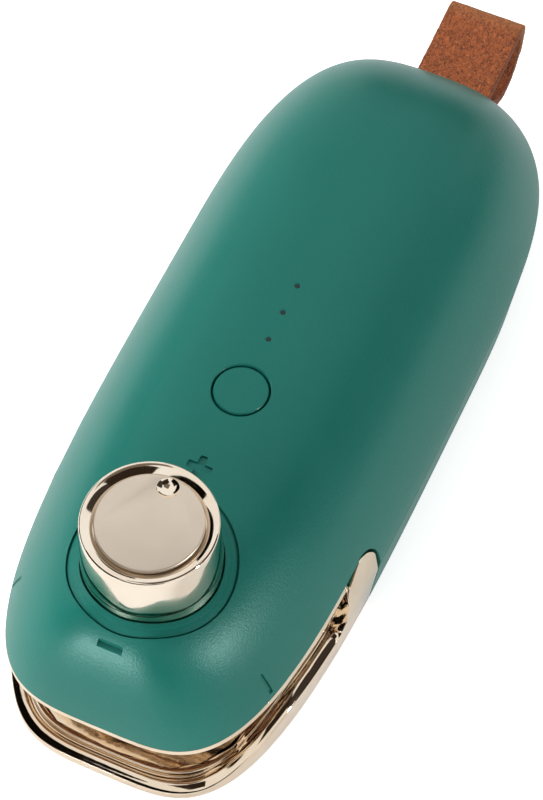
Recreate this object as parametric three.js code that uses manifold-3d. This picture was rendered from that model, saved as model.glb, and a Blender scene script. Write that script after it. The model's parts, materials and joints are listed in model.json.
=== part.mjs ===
// Mini bag sealer: hand-held case with a spring-open gilt jaw, a dial knob, a power button and a
// leather loop. Millimetres, +Z up, -Y towards the mouth, +Y towards the leather loop. The origin is
// under the case's middle, on the surface that the base pad stands on.
import * as THREE from 'three';
import { mergeVertices } from 'three/addons/utils/BufferGeometryUtils.js';
import Module from 'manifold-3d';

const wasm = await Module();
wasm.setup();

// Case outline, seen from above
const caseHalfWidth = 21.5;
const caseFrontReach = 68.3;
const caseRearReach = 39.1;
const widestY = 14.6;
const caseFrontY = widestY - caseFrontReach;
const caseRearY = widestY + caseRearReach;
const frontSquareness = 3.92;
const rearSquareness = 3.04;

// Case section
const seamZ = 12;
const caseTopZ = 30.7;
const topPlanSquareness = 3.05;
const topRiseSquareness = 1.33;
const frontTopDraw = 13.2;
const rearTopDraw = 31.2;
const padDrop = 0.5;
const sideDraftShare = 0.12;
const frontDraftShare = 0.02;
const rearDraftShare = 0.2;
const bottomRound = 1.9;
const leastRound = 0.4;
const wall = 1.6;
const seamGap = 0.2;

// Clearances
const seatGap = 0.1;
const fitGap = 0.25;
const splitGap = 0.45;
const overrun = 5;

// Mouth and jaw hinge, as they stand open
const pivotBehindFront = 32.8;
const pivotY = caseFrontY + pivotBehindFront;
const pivotZ = 13.9;
const headRadius = 3;
const lipFrontZ = 15.2;
const lipSlopeShare = 0.06;
const beadHeight = 1.4;
const beadWidth = 1.4;
const beadInset = 0.12;
const mouthBackGap = 4.1;
const mouthBackY = pivotY - mouthBackGap;
const closingAngle = THREE.MathUtils.degToRad(14.5);
const jawWall = 2.6;
const rimStep = 1.3;
const jawFloor = 1.2;
const jawRearWall = 1.5;
const jawRearWallTop = 9.2;
const skinFrontZ = 3.9;
const skinSideZ = 9.3;
const rimFrontZ = 4.8;
const rimRearZ = 12.9;
const headNose = 3.3;
const headFrontY = pivotY - headNose;
const headFrontZ = 15.9;

// Jaw inside
const carrierThickness = 1.3;
const barrelRadius = 2.8;
const barrelInset = 10;
const barrelHalfLength = caseHalfWidth - barrelInset;
const tailInset = 0.5;
const tailHalfWidth = barrelHalfLength - tailInset;
const tailThickness = 1.4;
const tailReach = 11.9;
const tailEndY = pivotY + tailReach;
const pinRadius = 1.25;
const lugThickness = 3;
const lugRadius = 2.9;
const trimPlate = 1.5;
const trimDrop = 0.5;

// Heater and pad
const sealBehindFront = 12.4;
const sealLineY = caseFrontY + sealBehindFront;
const heaterInset = 8.5;
const heaterLength = 2 * (caseHalfWidth - heaterInset);
const holderWidth = 7;
const holderThickness = 0.8;
const ribbonWidth = 2.4;
const ribbonThickness = 0.2;
const tapeThickness = 0.2;
const padWidth = 5.6;
const padStand = 1.4;
const padSunk = 0.7;
const closedGap = 0.3;
const jawScrewInset = 3.5;
const jawScrewX = heaterLength / 2 - jawScrewInset;
const jawScrewBehindSeal = 9.3;
const jawScrewY = sealLineY + jawScrewBehindSeal;

// Dial knob
const knobBehindFront = 16.6;
const knobY = caseFrontY + knobBehindFront;
const knobTopRadius = 8.24;
const knobBaseRadius = 8.42;
const wellDepth = 2.4;
const wellFloorZ = caseTopZ - wellDepth;
const knobStand = 10.2;
const knobTopZ = wellFloorZ + knobStand;
const knobWall = 0.9;
const knobDiscRadius = 6.45;
const knobDiscThickness = 0.5;
const knobBevelDrop = 0.6;
const knobGroove = 0.22;
const knobGrooveStand = 2.9;
const knobGrooveZ = wellFloorZ + knobGrooveStand;
const dimpleRadius = 1.35;
const dimpleReach = 4.95;
const dimpleDepth = 0.25;
const wellFloor = 1.3;
const wellWall = 1.1;
const dishRadius = 10.2;
const dishDepth = 0.4;
const shaftRadius = 3;
const bushRadius = 4.2;
const nutAcross = 11;
const nutHeight = 1.8;
const dialBodySize = 12.4;
const dialBodyHeightShare = 0.6183;
const socketWall = 1.4;

// Power button and lamps
const buttonBehindPivot = 8.6;
const buttonY = pivotY + buttonBehindPivot;
const buttonRadius = 3.7;
const buttonTravel = 0.6;
const flangeRadius = 4.6;
const flangeThickness = 0.8;
const stemRadius = 1.6;
const lampPitch = 4.3;
const lampsBehindButton = 12.35;
const lampMiddleY = buttonY + lampsBehindButton;
const lampRadius = 0.42;
const lightPipeRadius = 1;
const lampSunk = 0.1;

// Marks in the case
const markWidth = 1;
const markLength = 3.2;
const markDepth = 0.35;
const plusBehindKnob = 13;
const plusY = knobY + plusBehindKnob;
const minusBeforeKnob = 11.5;
const minusY = knobY - minusBeforeKnob;
const tickWidth = 0.55;
const tickHeight = 3.5;
const tickMiddleZ = 18.4;

// Screws and bosses
const screwInset = 7.9;
const screwX = caseHalfWidth - screwInset;
const screwBehindPivot = 16.4;
const screwFrontY = pivotY + screwBehindPivot;
const screwBeforeRear = 16.2;
const screwRearY = caseRearY - screwBeforeRear;
const bossRadius = 2.4;
const screwRadius = 0.95;
const screwHeadRadius = 1.9;
const screwHeadHeight = 1.2;
const screwCrossHalf = 1.15;
const screwCrossWidth = 0.6;
const screwCrossDepth = 0.6;
const screwSink = 1.6;
const screwBite = 8;
const jawBossHang = 5;

// Circuit boards and what they carry
const boardAbovePivot = 3.1;
const boardZ = pivotZ + boardAbovePivot;
const boardThickness = 1.2;
const boardTop = boardZ + boardThickness;
const boardCorner = 1;
const boardSideGap = 0.4;
const boardHalfWidth = screwX - bossRadius - boardSideGap;
const boardBehindPivot = 4.4;
const boardFrontY = pivotY + boardBehindPivot;
const boardBeforeRear = 7.3;
const boardRearY = caseRearY - boardBeforeRear;
const postRadius = 1.6;
const postHoleRadius = 0.8;
const postInset = 2.2;
const postX = boardHalfWidth - postInset;
const postBehindFront = 21;
const postFrontY = boardFrontY + postBehindFront;
const postBeforeRear = 3.8;
const postRearY = boardRearY - postBeforeRear;
const keySize = 6;
const keyHeightShare = 0.373;
const keyPlungerRadius = 1.6;
const keyPlungerShare = 0.166;
const lampChip = 1.4;
const lampChipHeight = 0.7;
const jawSwitchSize = [6, 5, 2];
const jawSwitchPlunger = [1.5, 1.25, 0.6];
const portWidth = 8.94;
const portHeight = 3.2;
const portLength = 7.3;
const portWall = 0.35;
const portBack = 1;
const portSunk = 0.7;
const tongueThickness = 0.7;
const portBoardSideGap = 0.6;
const portBoardHalfWidth = postX - postRadius - portBoardSideGap;
const portBoardLength = 7.2;
const portBoardBeforeRear = 5.1;
const portBoardRearY = caseRearY - portBoardBeforeRear;
const portBoardFrontY = portBoardRearY - portBoardLength;

// Battery, magnets, springs
const batteryInset = 0.5;
const batteryHalfWidth = boardHalfWidth - batteryInset;
const batteryHeight = 8;
const batteryGap = 3.3;
const batteryFrontY = postFrontY + batteryGap;
const batteryBeforePort = 1.6;
const batteryRearY = portBoardFrontY - batteryBeforePort;
const batteryCorner = 2;
const magnetSideGap = 2.2;
const magnetMiddleGap = 1;
const magnetRadius = (screwX - bossRadius - magnetSideGap - magnetMiddleGap) / 2;
const magnetThickness = 1.8;
const magnetX = magnetRadius + magnetMiddleGap;
const magnetBehindTail = 7;
const magnetY = tailEndY + magnetBehindTail;
const springInset = 3;
const springX = tailHalfWidth - springInset;
const springBeforeEnd = 2.5;
const springY = tailEndY - springBeforeEnd;
const springRadius = 2.2;
const springWire = 0.7;
const springPegStand = 1.4;
const springCurls = 5;
const stepsPerCurl = 8;
const wireSides = 5;

// Base pad
const basePadInset = 3.2;
const basePadHalfWidth = screwX - basePadInset;
const basePadCorner = 5.2;
const basePadBehindPivot = 8.9;
const basePadFrontY = pivotY + basePadBehindPivot;
const basePadBeforeRear = 13.7;
const basePadRearY = caseRearY - basePadBeforeRear;
const basePadThickness = 1;

// Leather loop
const loopX = 1.1;
const loopWidth = 11;
const leather = 1.6;
const loopPinBeforeRear = 5.9;
const loopPinY = caseRearY - loopPinBeforeRear;
const loopPinBelowSeam = 0.1;
const loopPinZ = seamZ - loopPinBelowSeam;
const loopPinRadius = 1.1;
const loopTurnFrom = 60;
const loopTurnTo = 300;
const loopReach = 13.3;
const loopEndY = caseRearY + loopReach;
const loopSag = 4.2;
const loopRise = 1.2;
const loopSwing = THREE.MathUtils.degToRad(8);
const loopLug = 1.8;
const loopLugRadius = 2.2;

// Leads inside
const leadRadius = 0.5;
const thickLeadRadius = 1;
const leadBend = 3;
const dialLeadShare = 1 / 3;
const heaterLeadShare = 0.25;

// Facets
const outlineSegments = 48;
const innerSegments = 32;
const turnedSegments = 48;
const roundSegments = 32;
const smallSegments = 16;
const screwSegments = 10;
const hexSides = 6;
const cornerSteps = 5;
const hingeSteps = 10;
const curveSteps = 18;
const strapSteps = 64;
const leadSides = 6;
const leadSteps = 10;

// Shares of a height, a length or a turn
const bottomTurnShares = [1, 0.67, 0.33, 0];
const crownShares = [1, 0.985, 0.96, 0.925, 0.88, 0.82, 0.74, 0.64, 0.52, 0.38, 0.2];
const skinSideShares = [
  [0, 1],
  [0.02, 0.72],
  [0.07, 0.42],
  [0.13, 0.08],
  [0.22, 0],
];
const skinFrontShares = [
  [0.3, 1],
  [0.45, 0.98],
  [0.58, 0.8],
  [0.7, 0.48],
  [0.82, 0.14],
  [0.93, 0.02],
  [1.3, 0],
];
const rimShares = [
  [-0.1, 1],
  [0.05, 1],
  [0.14, 0.965],
  [0.27, 0.86],
  [0.4, 0.69],
  [0.53, 0.47],
  [0.67, 0.21],
  [0.8, 0.03],
  [1.3, 0],
];
const strapLowerShares = [
  [0.2, 0],
  [0.3, 0.02],
  [0.42, 0.3],
  [0.55, 0.78],
  [0.68, 1],
  [0.8, 0.92],
  [0.91, 0.52],
  [0.98, 0.02],
];
const strapEndShares = [1, 0.25];
const strapUpperShares = [
  [0.975, 1],
  [0.85, 0.92],
  [0.66, 0.62],
  [0.46, 0.24],
  [0.3, 0.02],
  [0.2, 0],
];

// Finishes
function finish(color, roughness, metalness) {
  return new THREE.MeshStandardMaterial({ color, roughness, metalness });
}

const greenCase = () => finish(0x2d7266, 0.45, 0);
const gilt = () => finish(0xd8c3a5, 0.14, 1);
const satinGilt = () => finish(0xd7c9b7, 0.38, 1);
const blackPlastic = () => finish(0x202224, 0.5, 0);
const steel = () => finish(0xb8bcc0, 0.3, 1);
const siliconeRubber = () => finish(0xc8452f, 0.8, 0);
const darkRubber = () => finish(0x2b2d2e, 0.9, 0);
const boardGreen = () => finish(0x1f5a3a, 0.5, 0);
const batteryFoil = () => finish(0x9aa3ad, 0.35, 0.4);
const tanLeather = () => finish(0x985439, 0.9, 0);
const smokedLens = () => finish(0x3c4a48, 0.3, 0);
const lampWhite = () => finish(0xe8e4d8, 0.5, 0);

// Solids and their joins
function solidOf(geometry) {
  const plain = geometry.index ? geometry.toNonIndexed() : geometry.clone();
  plain.deleteAttribute('normal');
  plain.deleteAttribute('uv');
  const merged = mergeVertices(plain, 1e-5);
  return new wasm.Manifold(new wasm.Mesh({
    numProp: 3,
    vertProperties: new Float32Array(merged.attributes.position.array),
    triVerts: new Uint32Array(merged.index.array),
  }));
}

function geometryOf(solid) {
  const mesh = solid.getMesh();
  const geometry = new THREE.BufferGeometry();
  const places = new Float32Array(mesh.numVert * 3);
  for (let i = 0; i < mesh.numVert; i += 1) {
    for (let axis = 0; axis < 3; axis += 1) {
      places[3 * i + axis] = mesh.vertProperties[mesh.numProp * i + axis];
    }
  }
  geometry.setAttribute('position', new THREE.BufferAttribute(places, 3));
  geometry.setIndex(new THREE.BufferAttribute(new Uint32Array(mesh.triVerts), 1));
  return geometry;
}

const joined = (first, ...rest) => rest.reduce((whole, next) => whole.add(next), first);
const cutBy = (first, ...rest) => rest.reduce((whole, next) => whole.subtract(next), first);
const both = (first, second) => first.intersect(second);

function block(x0, x1, y0, y1, z0, z1) {
  const geometry = new THREE.BoxGeometry(x1 - x0, y1 - y0, z1 - z0);
  geometry.translate((x0 + x1) / 2, (y0 + y1) / 2, (z0 + z1) / 2);
  return solidOf(geometry);
}

function rodZ(radius, z0, z1, x = 0, y = 0, segments = smallSegments) {
  const geometry = new THREE.CylinderGeometry(radius, radius, z1 - z0, segments);
  geometry.rotateX(Math.PI / 2);
  geometry.translate(x, y, (z0 + z1) / 2);
  return solidOf(geometry);
}

function rodX(radius, x0, x1, y, z, segments = smallSegments) {
  const geometry = new THREE.CylinderGeometry(radius, radius, x1 - x0, segments);
  geometry.rotateZ(Math.PI / 2);
  geometry.translate((x0 + x1) / 2, y, z);
  return solidOf(geometry);
}

function rodY(radius, y0, y1, x, z, segments = smallSegments) {
  const geometry = new THREE.CylinderGeometry(radius, radius, y1 - y0, segments);
  geometry.translate(x, (y0 + y1) / 2, z);
  return solidOf(geometry);
}

// A side-view outline of [y, z] points, drawn out along X
function prismX(points, x0, x1) {
  const shape = new THREE.Shape(points.map(([y, z]) => new THREE.Vector2(y, z)));
  const geometry = new THREE.ExtrudeGeometry(shape, { depth: x1 - x0, bevelEnabled: false });
  const toSideView = new THREE.Matrix4().makeBasis(
    new THREE.Vector3(0, 1, 0), new THREE.Vector3(0, 0, 1), new THREE.Vector3(1, 0, 0));
  geometry.applyMatrix4(toSideView);
  geometry.translate(x0, 0, 0);
  return solidOf(geometry);
}

// A plan outline of [x, y] points, drawn up along Z
function prismZ(points, z0, z1) {
  const shape = new THREE.Shape(points.map(([x, y]) => new THREE.Vector2(x, y)));
  const geometry = new THREE.ExtrudeGeometry(shape, { depth: z1 - z0, bevelEnabled: false });
  geometry.translate(0, 0, z0);
  return solidOf(geometry);
}

function roundedOutline(halfWidth, y0, y1, radius) {
  const points = [];
  const corners = [[1, y1, 0], [-1, y1, 1], [-1, y0, 2], [1, y0, 3]];
  for (const [side, edge, quarter] of corners) {
    const inwards = edge === y1 ? -1 : 1;
    for (let i = 0; i <= cornerSteps; i += 1) {
      const angle = (quarter + i / cornerSteps) * Math.PI / 2;
      points.push([
        side * (halfWidth - radius) + radius * Math.cos(angle),
        edge + inwards * radius + radius * Math.sin(angle),
      ]);
    }
  }
  return points;
}

// Points of a side-view arc, from one angle in degrees to another
function arc(y, z, radius, from, to, steps = hingeSteps) {
  const points = [];
  for (let i = 0; i <= steps; i += 1) {
    const angle = THREE.MathUtils.degToRad(from + ((to - from) * i) / steps);
    points.push([y + radius * Math.cos(angle), z + radius * Math.sin(angle)]);
  }
  return points;
}

// A smooth side-view line through [y, z] points
function smooth(points) {
  const curve = new THREE.SplineCurve(points.map(([y, z]) => new THREE.Vector2(y, z)));
  return curve.getPoints(curveSteps).map((point) => [point.x, point.y]);
}

// A closed skin through level rings, with flat ends
function loft(rings) {
  const count = rings[0].length;
  const places = rings.flat(2);
  const faces = [];
  for (let level = 0; level + 1 < rings.length; level += 1) {
    for (let i = 0; i < count; i += 1) {
      const a = level * count + i;
      const b = level * count + (i + 1) % count;
      faces.push(a, b, b + count, a, b + count, a + count);
    }
  }
  for (const level of [0, rings.length - 1]) {
    const middle = [0, 0, 0];
    for (const point of rings[level]) {
      for (let axis = 0; axis < 3; axis += 1) {
        middle[axis] += point[axis] / count;
      }
    }
    const hub = places.length / 3;
    places.push(...middle);
    for (let i = 0; i < count; i += 1) {
      const a = level * count + i;
      const b = level * count + (i + 1) % count;
      faces.push(...(level > 0 ? [hub, a, b] : [hub, b, a]));
    }
  }
  const geometry = new THREE.BufferGeometry();
  geometry.setAttribute('position', new THREE.Float32BufferAttribute(places, 3));
  geometry.setIndex(faces);
  return solidOf(geometry);
}

// The case's outer form: level outlines, with drafts and a round under the seam and a crown over it
const heightShare = (planShare) => (1 - planShare ** topPlanSquareness) ** (1 / topRiseSquareness);

function outlineAt(z, halfWidth, front, rear, segments) {
  const ring = [];
  for (let i = 0; i < segments; i += 1) {
    const angle = (2 * Math.PI * i) / segments;
    const c = Math.cos(angle);
    const s = Math.sin(angle);
    const power = 2 / (s < 0 ? frontSquareness : rearSquareness);
    const reach = s < 0 ? front : rear;
    ring.push([
      halfWidth * Math.sign(c) * Math.abs(c) ** power,
      widestY + reach * Math.sign(s) * Math.abs(s) ** power,
      z,
    ]);
  }
  return ring;
}

function bellyRing(turnShare, inset, floorZ, segments) {
  const radius = Math.max(bottomRound - inset, leastRound);
  const angle = turnShare * Math.PI / 2;
  const z = floorZ + radius * (1 - Math.sin(angle));
  const roundIn = radius * (1 - Math.cos(angle));
  const drawnIn = (draftShare) => inset + roundIn + draftShare * (seamZ - z);
  return outlineAt(
    z,
    caseHalfWidth - drawnIn(sideDraftShare),
    caseFrontReach - drawnIn(frontDraftShare),
    caseRearReach - drawnIn(rearDraftShare),
    segments);
}

function crownRing(planShare, inset, lowered, segments) {
  const z = seamZ + (caseTopZ - inset - seamZ) * heightShare(planShare) - lowered;
  return outlineAt(
    z,
    caseHalfWidth * planShare - inset,
    caseFrontReach - frontTopDraw * (1 - planShare) - inset,
    caseRearReach - rearTopDraw * (1 - planShare) - inset,
    segments);
}

const caseLow = padDrop;

function caseForm(inset, { segments = outlineSegments, floor = inset, lowered = 0 } = {}) {
  return loft([
    ...bottomTurnShares.map((share) => bellyRing(share, inset, caseLow + floor, segments)),
    ...crownShares.map((share) => crownRing(share, inset, lowered, segments)),
  ]);
}

// Height of the case's top over the middle line
function crownZ(y) {
  const flatFront = widestY - caseFrontReach + frontTopDraw;
  const flatRear = widestY + caseRearReach - rearTopDraw;
  let planShare = 0;
  if (y < flatFront) {
    planShare = (flatFront - y) / frontTopDraw;
  }
  if (y > flatRear) {
    planShare = (y - flatRear) / rearTopDraw;
  }
  return seamZ + (caseTopZ - seamZ) * heightShare(Math.min(planShare, 1));
}

const farX = caseHalfWidth + overrun;
const farFront = caseFrontY - overrun;
const farRear = caseRearY + overrun;
const farTop = knobTopZ + overrun;
const farBottom = -overrun;

const outer = caseForm(0);
const hollow = caseForm(wall, { segments: innerSegments });

// The lip's sloping plane, and slabs that follow it
const lipZ = (y) => lipFrontZ + lipSlopeShare * (y - caseFrontY);

function lipSlab(low, high, y0, y1, x0 = -farX, x1 = farX) {
  const corners = [[y0, low], [y1, low], [y1, high], [y0, high]];
  return prismX(corners.map(([y, offset]) => [y, lipZ(y) + offset]), x0, x1);
}

// Turns a closed-jaw place back to where it stands with the jaw open
function opened(y, z) {
  const dy = y - pivotY;
  const dz = z - pivotZ;
  return [
    pivotY + dy * Math.cos(closingAngle) - dz * Math.sin(closingAngle),
    pivotZ + dy * Math.sin(closingAngle) + dz * Math.cos(closingAngle),
  ];
}

// The jaw's inner slab, laid out closed and then opened
function openedSlab(low, high, y0, y1, x0, x1) {
  const corners = [[y0, low], [y1, low], [y1, high], [y0, high]];
  return prismX(corners.map(([y, offset]) => opened(y, lipZ(y) + offset)), x0, x1);
}

// The heater's layers, down from the trim's underside to the closed pad
const holderTop = -trimDrop - seatGap;
const ribbonTop = holderTop - holderThickness - seatGap;
const tapeTop = ribbonTop - ribbonThickness - seatGap;
const padTopClosed = tapeTop - tapeThickness - closedGap;
const carrierTopClosed = padTopClosed - padStand;

// Mouth cut in the case: everything under the lip, with a round back end about the hinge
const cutRadius = headRadius + splitGap;
const jawRearY = pivotY + headRadius;
const caseSplitY = pivotY + cutRadius;

const mouthCut = () => prismX([
  [farFront, farBottom],
  [caseSplitY, farBottom],
  ...arc(pivotY, pivotZ, cutRadius, 0, 90),
  [pivotY, lipZ(pivotY)],
  [farFront, lipZ(farFront)],
], -farX, farX);

const frontHalf = block(-farX, farX, farFront, caseSplitY, farBottom, farTop);
const upperHalf = block(-farX, farX, farFront, farRear, seamZ + seamGap / 2, farTop);
const lowerHalf = block(-farX, farX, farFront, farRear, farBottom, seamZ - seamGap / 2);

const screwPlaces = [
  [screwX, screwFrontY],
  [-screwX, screwFrontY],
  [screwX, screwRearY],
  [-screwX, screwRearY],
];
const screwHeadLow = caseLow + screwSink;
const screwHeadTop = screwHeadLow + screwHeadHeight;
const screwTip = seamZ + screwBite;
const lampPlaces = [lampMiddleY - lampPitch, lampMiddleY, lampMiddleY + lampPitch];

// Leather loop: one closed band round its pin and out through the slot in the seam
const loopInner = loopPinRadius + fitGap;
const loopOuter = loopInner + leather;
const neckHalf = leather + fitGap / 2;
const slotArm = caseRearY - loopPinY;
const slotHalfHeight = neckHalf + slotArm * Math.tan(loopSwing) + fitGap;
const slotHalfWidth = loopWidth / 2 + 2 * fitGap;
const loopPinHalf = slotHalfWidth + loopLug;
const loopSlot = block(
  loopX - slotHalfWidth, loopX + slotHalfWidth,
  loopPinY - loopOuter - splitGap, farRear,
  loopPinZ - slotHalfHeight, loopPinZ + slotHalfHeight);

function strapSolid() {
  const run = loopEndY - loopPinY;
  const middle = loopInner + leather / 2;
  const neck = neckHalf - leather / 2;
  const [endShare, endRiseShare] = strapEndShares;
  const points = [
    ...arc(loopPinY, loopPinZ, middle, loopTurnFrom, loopTurnTo),
    ...strapLowerShares.map(([along, sag]) => [loopPinY + run * along, loopPinZ - neck - loopSag * sag]),
    [loopPinY + run * endShare, loopPinZ + neck + loopRise * endRiseShare],
    ...strapUpperShares.map(([along, rise]) => [loopPinY + run * along, loopPinZ + neck + loopRise * rise]),
  ];
  const places = points.map(([y, z]) => new THREE.Vector3(y, z, 0));
  const curve = new THREE.CatmullRomCurve3(places, true, 'centripetal');
  const outerEdge = [];
  const innerEdge = [];
  for (let i = 0; i < strapSteps; i += 1) {
    const at = curve.getPointAt(i / strapSteps);
    const along = curve.getTangentAt(i / strapSteps);
    outerEdge.push([at.x + (along.y * leather) / 2, at.y - (along.x * leather) / 2]);
    innerEdge.push([at.x - (along.y * leather) / 2, at.y + (along.x * leather) / 2]);
  }
  const half = loopWidth / 2;
  const whole = prismX(outerEdge, loopX - half, loopX + half);
  const inside = prismX(innerEdge, loopX - half - overrun, loopX + half + overrun);
  return cutBy(whole, inside);
}

// Case shells
function topShell() {
  let shell = both(cutBy(outer, hollow), upperHalf);
  const wellRadius = knobBaseRadius + splitGap;
  const well = rodZ(wellRadius + wellWall, wellFloorZ - wellFloor, caseTopZ, 0, knobY, roundSegments);
  shell = joined(shell, both(well, outer));
  for (const [x, y] of screwPlaces) {
    shell = joined(shell, both(rodZ(bossRadius, seamZ + seamGap / 2, caseTopZ, x, y), outer));
  }
  const dish = cutBy(
    rodZ(dishRadius, seamZ, farTop, 0, knobY, turnedSegments),
    caseForm(0, { lowered: dishDepth }));
  shell = cutBy(
    shell,
    mouthCut(),
    dish,
    rodZ(wellRadius, wellFloorZ, farTop, 0, knobY, turnedSegments),
    rodZ(bushRadius + seatGap, seamZ, farTop, 0, knobY),
    rodZ(buttonRadius + fitGap, seamZ, farTop, 0, buttonY, roundSegments),
    loopSlot,
    ...marks());
  for (const [x, y] of screwPlaces) {
    shell = cutBy(shell, rodZ(screwRadius + fitGap, farBottom, screwTip + fitGap, x, y));
  }
  for (const y of lampPlaces) {
    shell = cutBy(shell, rodZ(lampRadius + seatGap, seamZ, farTop, 0, y));
  }
  return shell;
}

function marks() {
  const half = markLength / 2;
  const thin = markWidth / 2;
  const plusLow = crownZ(plusY) - markDepth;
  const minusLow = crownZ(minusY) - markDepth;
  const tickFloor = caseForm(markDepth);
  const tick = (x0, x1) => cutBy(block(
    x0, x1,
    sealLineY - tickWidth / 2, sealLineY + tickWidth / 2,
    tickMiddleZ - tickHeight / 2, tickMiddleZ + tickHeight / 2), tickFloor);
  return [
    block(-half, half, plusY - thin, plusY + thin, plusLow, farTop),
    block(-thin, thin, plusY - half, plusY + half, plusLow, farTop),
    block(-half, half, minusY - thin, minusY + thin, minusLow, farTop),
    tick(caseHalfWidth / 2, farX),
    tick(-farX, -caseHalfWidth / 2),
  ];
}

const floorTop = caseLow + wall;
const portBoardLow = floorTop + seatGap;
const portBoardTop = portBoardLow + boardThickness;
const portLow = portBoardTop + seatGap;
const portMiddleZ = portLow + portHeight / 2;
const portMouthY = caseRearY - rearDraftShare * (seamZ - portMiddleZ) - portSunk;

// A flat-sided round bar along Y: the form of the charging port
function portSlug(grow, y0, y1) {
  const radius = portHeight / 2 + grow;
  const side = portWidth / 2 - portHeight / 2;
  return joined(
    block(-side, side, y0, y1, portMiddleZ - radius, portMiddleZ + radius),
    rodY(radius, y0, y1, side, portMiddleZ),
    rodY(radius, y0, y1, -side, portMiddleZ));
}

function bottomShell() {
  let shell = both(cutBy(outer, hollow), lowerHalf);
  const frontWall = block(-farX, farX, caseSplitY, caseSplitY + wall, farBottom, jawRearWallTop);
  shell = cutBy(joined(shell, both(frontWall, outer)), frontHalf);
  const seamLow = seamZ - seamGap / 2;
  for (const [x, y] of screwPlaces) {
    shell = joined(shell, both(rodZ(bossRadius, caseLow, seamLow, x, y), outer));
  }
  for (const x of [postX, -postX]) {
    for (const y of [postFrontY, postRearY]) {
      shell = joined(shell, rodZ(postRadius, floorTop - wall / 2, boardZ - seatGap, x, y));
    }
    shell = joined(shell, rodZ(
      springRadius - springWire, floorTop - wall / 2, floorTop + springPegStand,
      Math.sign(x) * springX, springY));
  }
  for (const side of [1, -1]) {
    const x = loopX + side * (slotHalfWidth + loopLug / 2);
    const arm = block(
      x - loopLug / 2, x + loopLug / 2,
      loopPinY - loopLugRadius, farRear, loopPinZ - loopLugRadius - wall, Math.min(loopPinZ, seamLow));
    const eye = rodX(loopLugRadius, x - loopLug / 2, x + loopLug / 2, loopPinY, loopPinZ, roundSegments);
    shell = joined(shell, both(joined(arm, eye), outer));
  }
  shell = cutBy(
    shell,
    loopSlot,
    portSlug(fitGap, portBoardRearY, farRear),
    basePadPocket(),
    strapPin(seatGap));
  for (const [x, y] of screwPlaces) {
    shell = cutBy(
      shell,
      rodZ(screwHeadRadius + fitGap, farBottom, screwHeadTop + seatGap, x, y),
      rodZ(screwRadius + fitGap, farBottom, farTop, x, y));
  }
  return shell;
}

const strapPin = (grow) => rodX(
  loopPinRadius + grow, loopX - loopPinHalf - grow, loopX + loopPinHalf + grow, loopPinY, loopPinZ);

const basePadForm = (grow, z0, z1) => prismZ(roundedOutline(
  basePadHalfWidth + grow, basePadFrontY - grow, basePadRearY + grow, basePadCorner + grow), z0, z1);
const basePadPocket = () => basePadForm(fitGap, farBottom, basePadThickness + seatGap);
const basePad = () => basePadForm(0, 0, basePadThickness);

// Jaw cover: outer skin, raised inner rim, floor and rear wall
const headRun = headFrontY - caseFrontY;
const skinLine = () => smooth([
  ...skinSideShares.map(([along, rise]) => [
    headFrontY - headRun * along,
    skinSideZ + rise * (headFrontZ - skinSideZ),
  ]),
  ...skinFrontShares.map(([along, rise]) => [
    headFrontY - headRun * along,
    skinFrontZ + rise * (skinSideZ - skinFrontZ),
  ]),
]);
const rimLine = () => smooth(rimShares.map(([along, rise]) => [
  headFrontY - headRun * along,
  rimFrontZ + rise * (rimRearZ - rimFrontZ),
]));

const carrierTopAt = (y) => {
  const [frontY, frontZ] = opened(caseFrontY, lipZ(caseFrontY) + carrierTopClosed);
  const [backY, backZ] = opened(mouthBackY, lipZ(mouthBackY) + carrierTopClosed);
  return frontZ + ((y - frontY) * (backZ - frontZ)) / (backY - frontY);
};
const carrierBossLow = carrierTopAt(jawScrewY) - jawBossHang;
const jawScrewHeadLow = caseLow + screwCrossDepth;
const jawScrewHeadTop = jawScrewHeadLow + screwHeadHeight;
const jawScrewTip = carrierTopAt(jawScrewY) - carrierThickness - fitGap;

function lowerJaw() {
  const skin = both(outer, prismX([
    [farFront, farBottom],
    [jawRearY, farBottom],
    ...arc(pivotY, pivotZ, headRadius, 0, 100),
    ...skinLine(),
  ], -farX, farX));
  const rim = both(caseForm(rimStep), prismX([
    [farFront, farBottom],
    [jawRearY - jawRearWall, farBottom],
    ...rimLine(),
  ], -farX, farX));
  const room = caseForm(jawWall, { segments: innerSegments, floor: jawFloor });
  const pocket = both(room, block(-farX, farX, farFront, jawRearY - jawRearWall, farBottom, farTop));
  const hingeRoom = both(room, block(-farX, farX, farFront, farRear, jawRearWallTop, farTop));
  let cover = cutBy(joined(skin, rim), pocket, hingeRoom);
  for (const x of [jawScrewX, -jawScrewX]) {
    cover = joined(cover, both(rodZ(bossRadius, caseLow, carrierBossLow - seatGap, x, jawScrewY), outer));
    cover = cutBy(
      cover,
      rodZ(screwHeadRadius + fitGap, farBottom, jawScrewHeadTop + seatGap, x, jawScrewY),
      rodZ(screwRadius + fitGap, farBottom, farTop, x, jawScrewY));
  }
  return cover;
}

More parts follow.
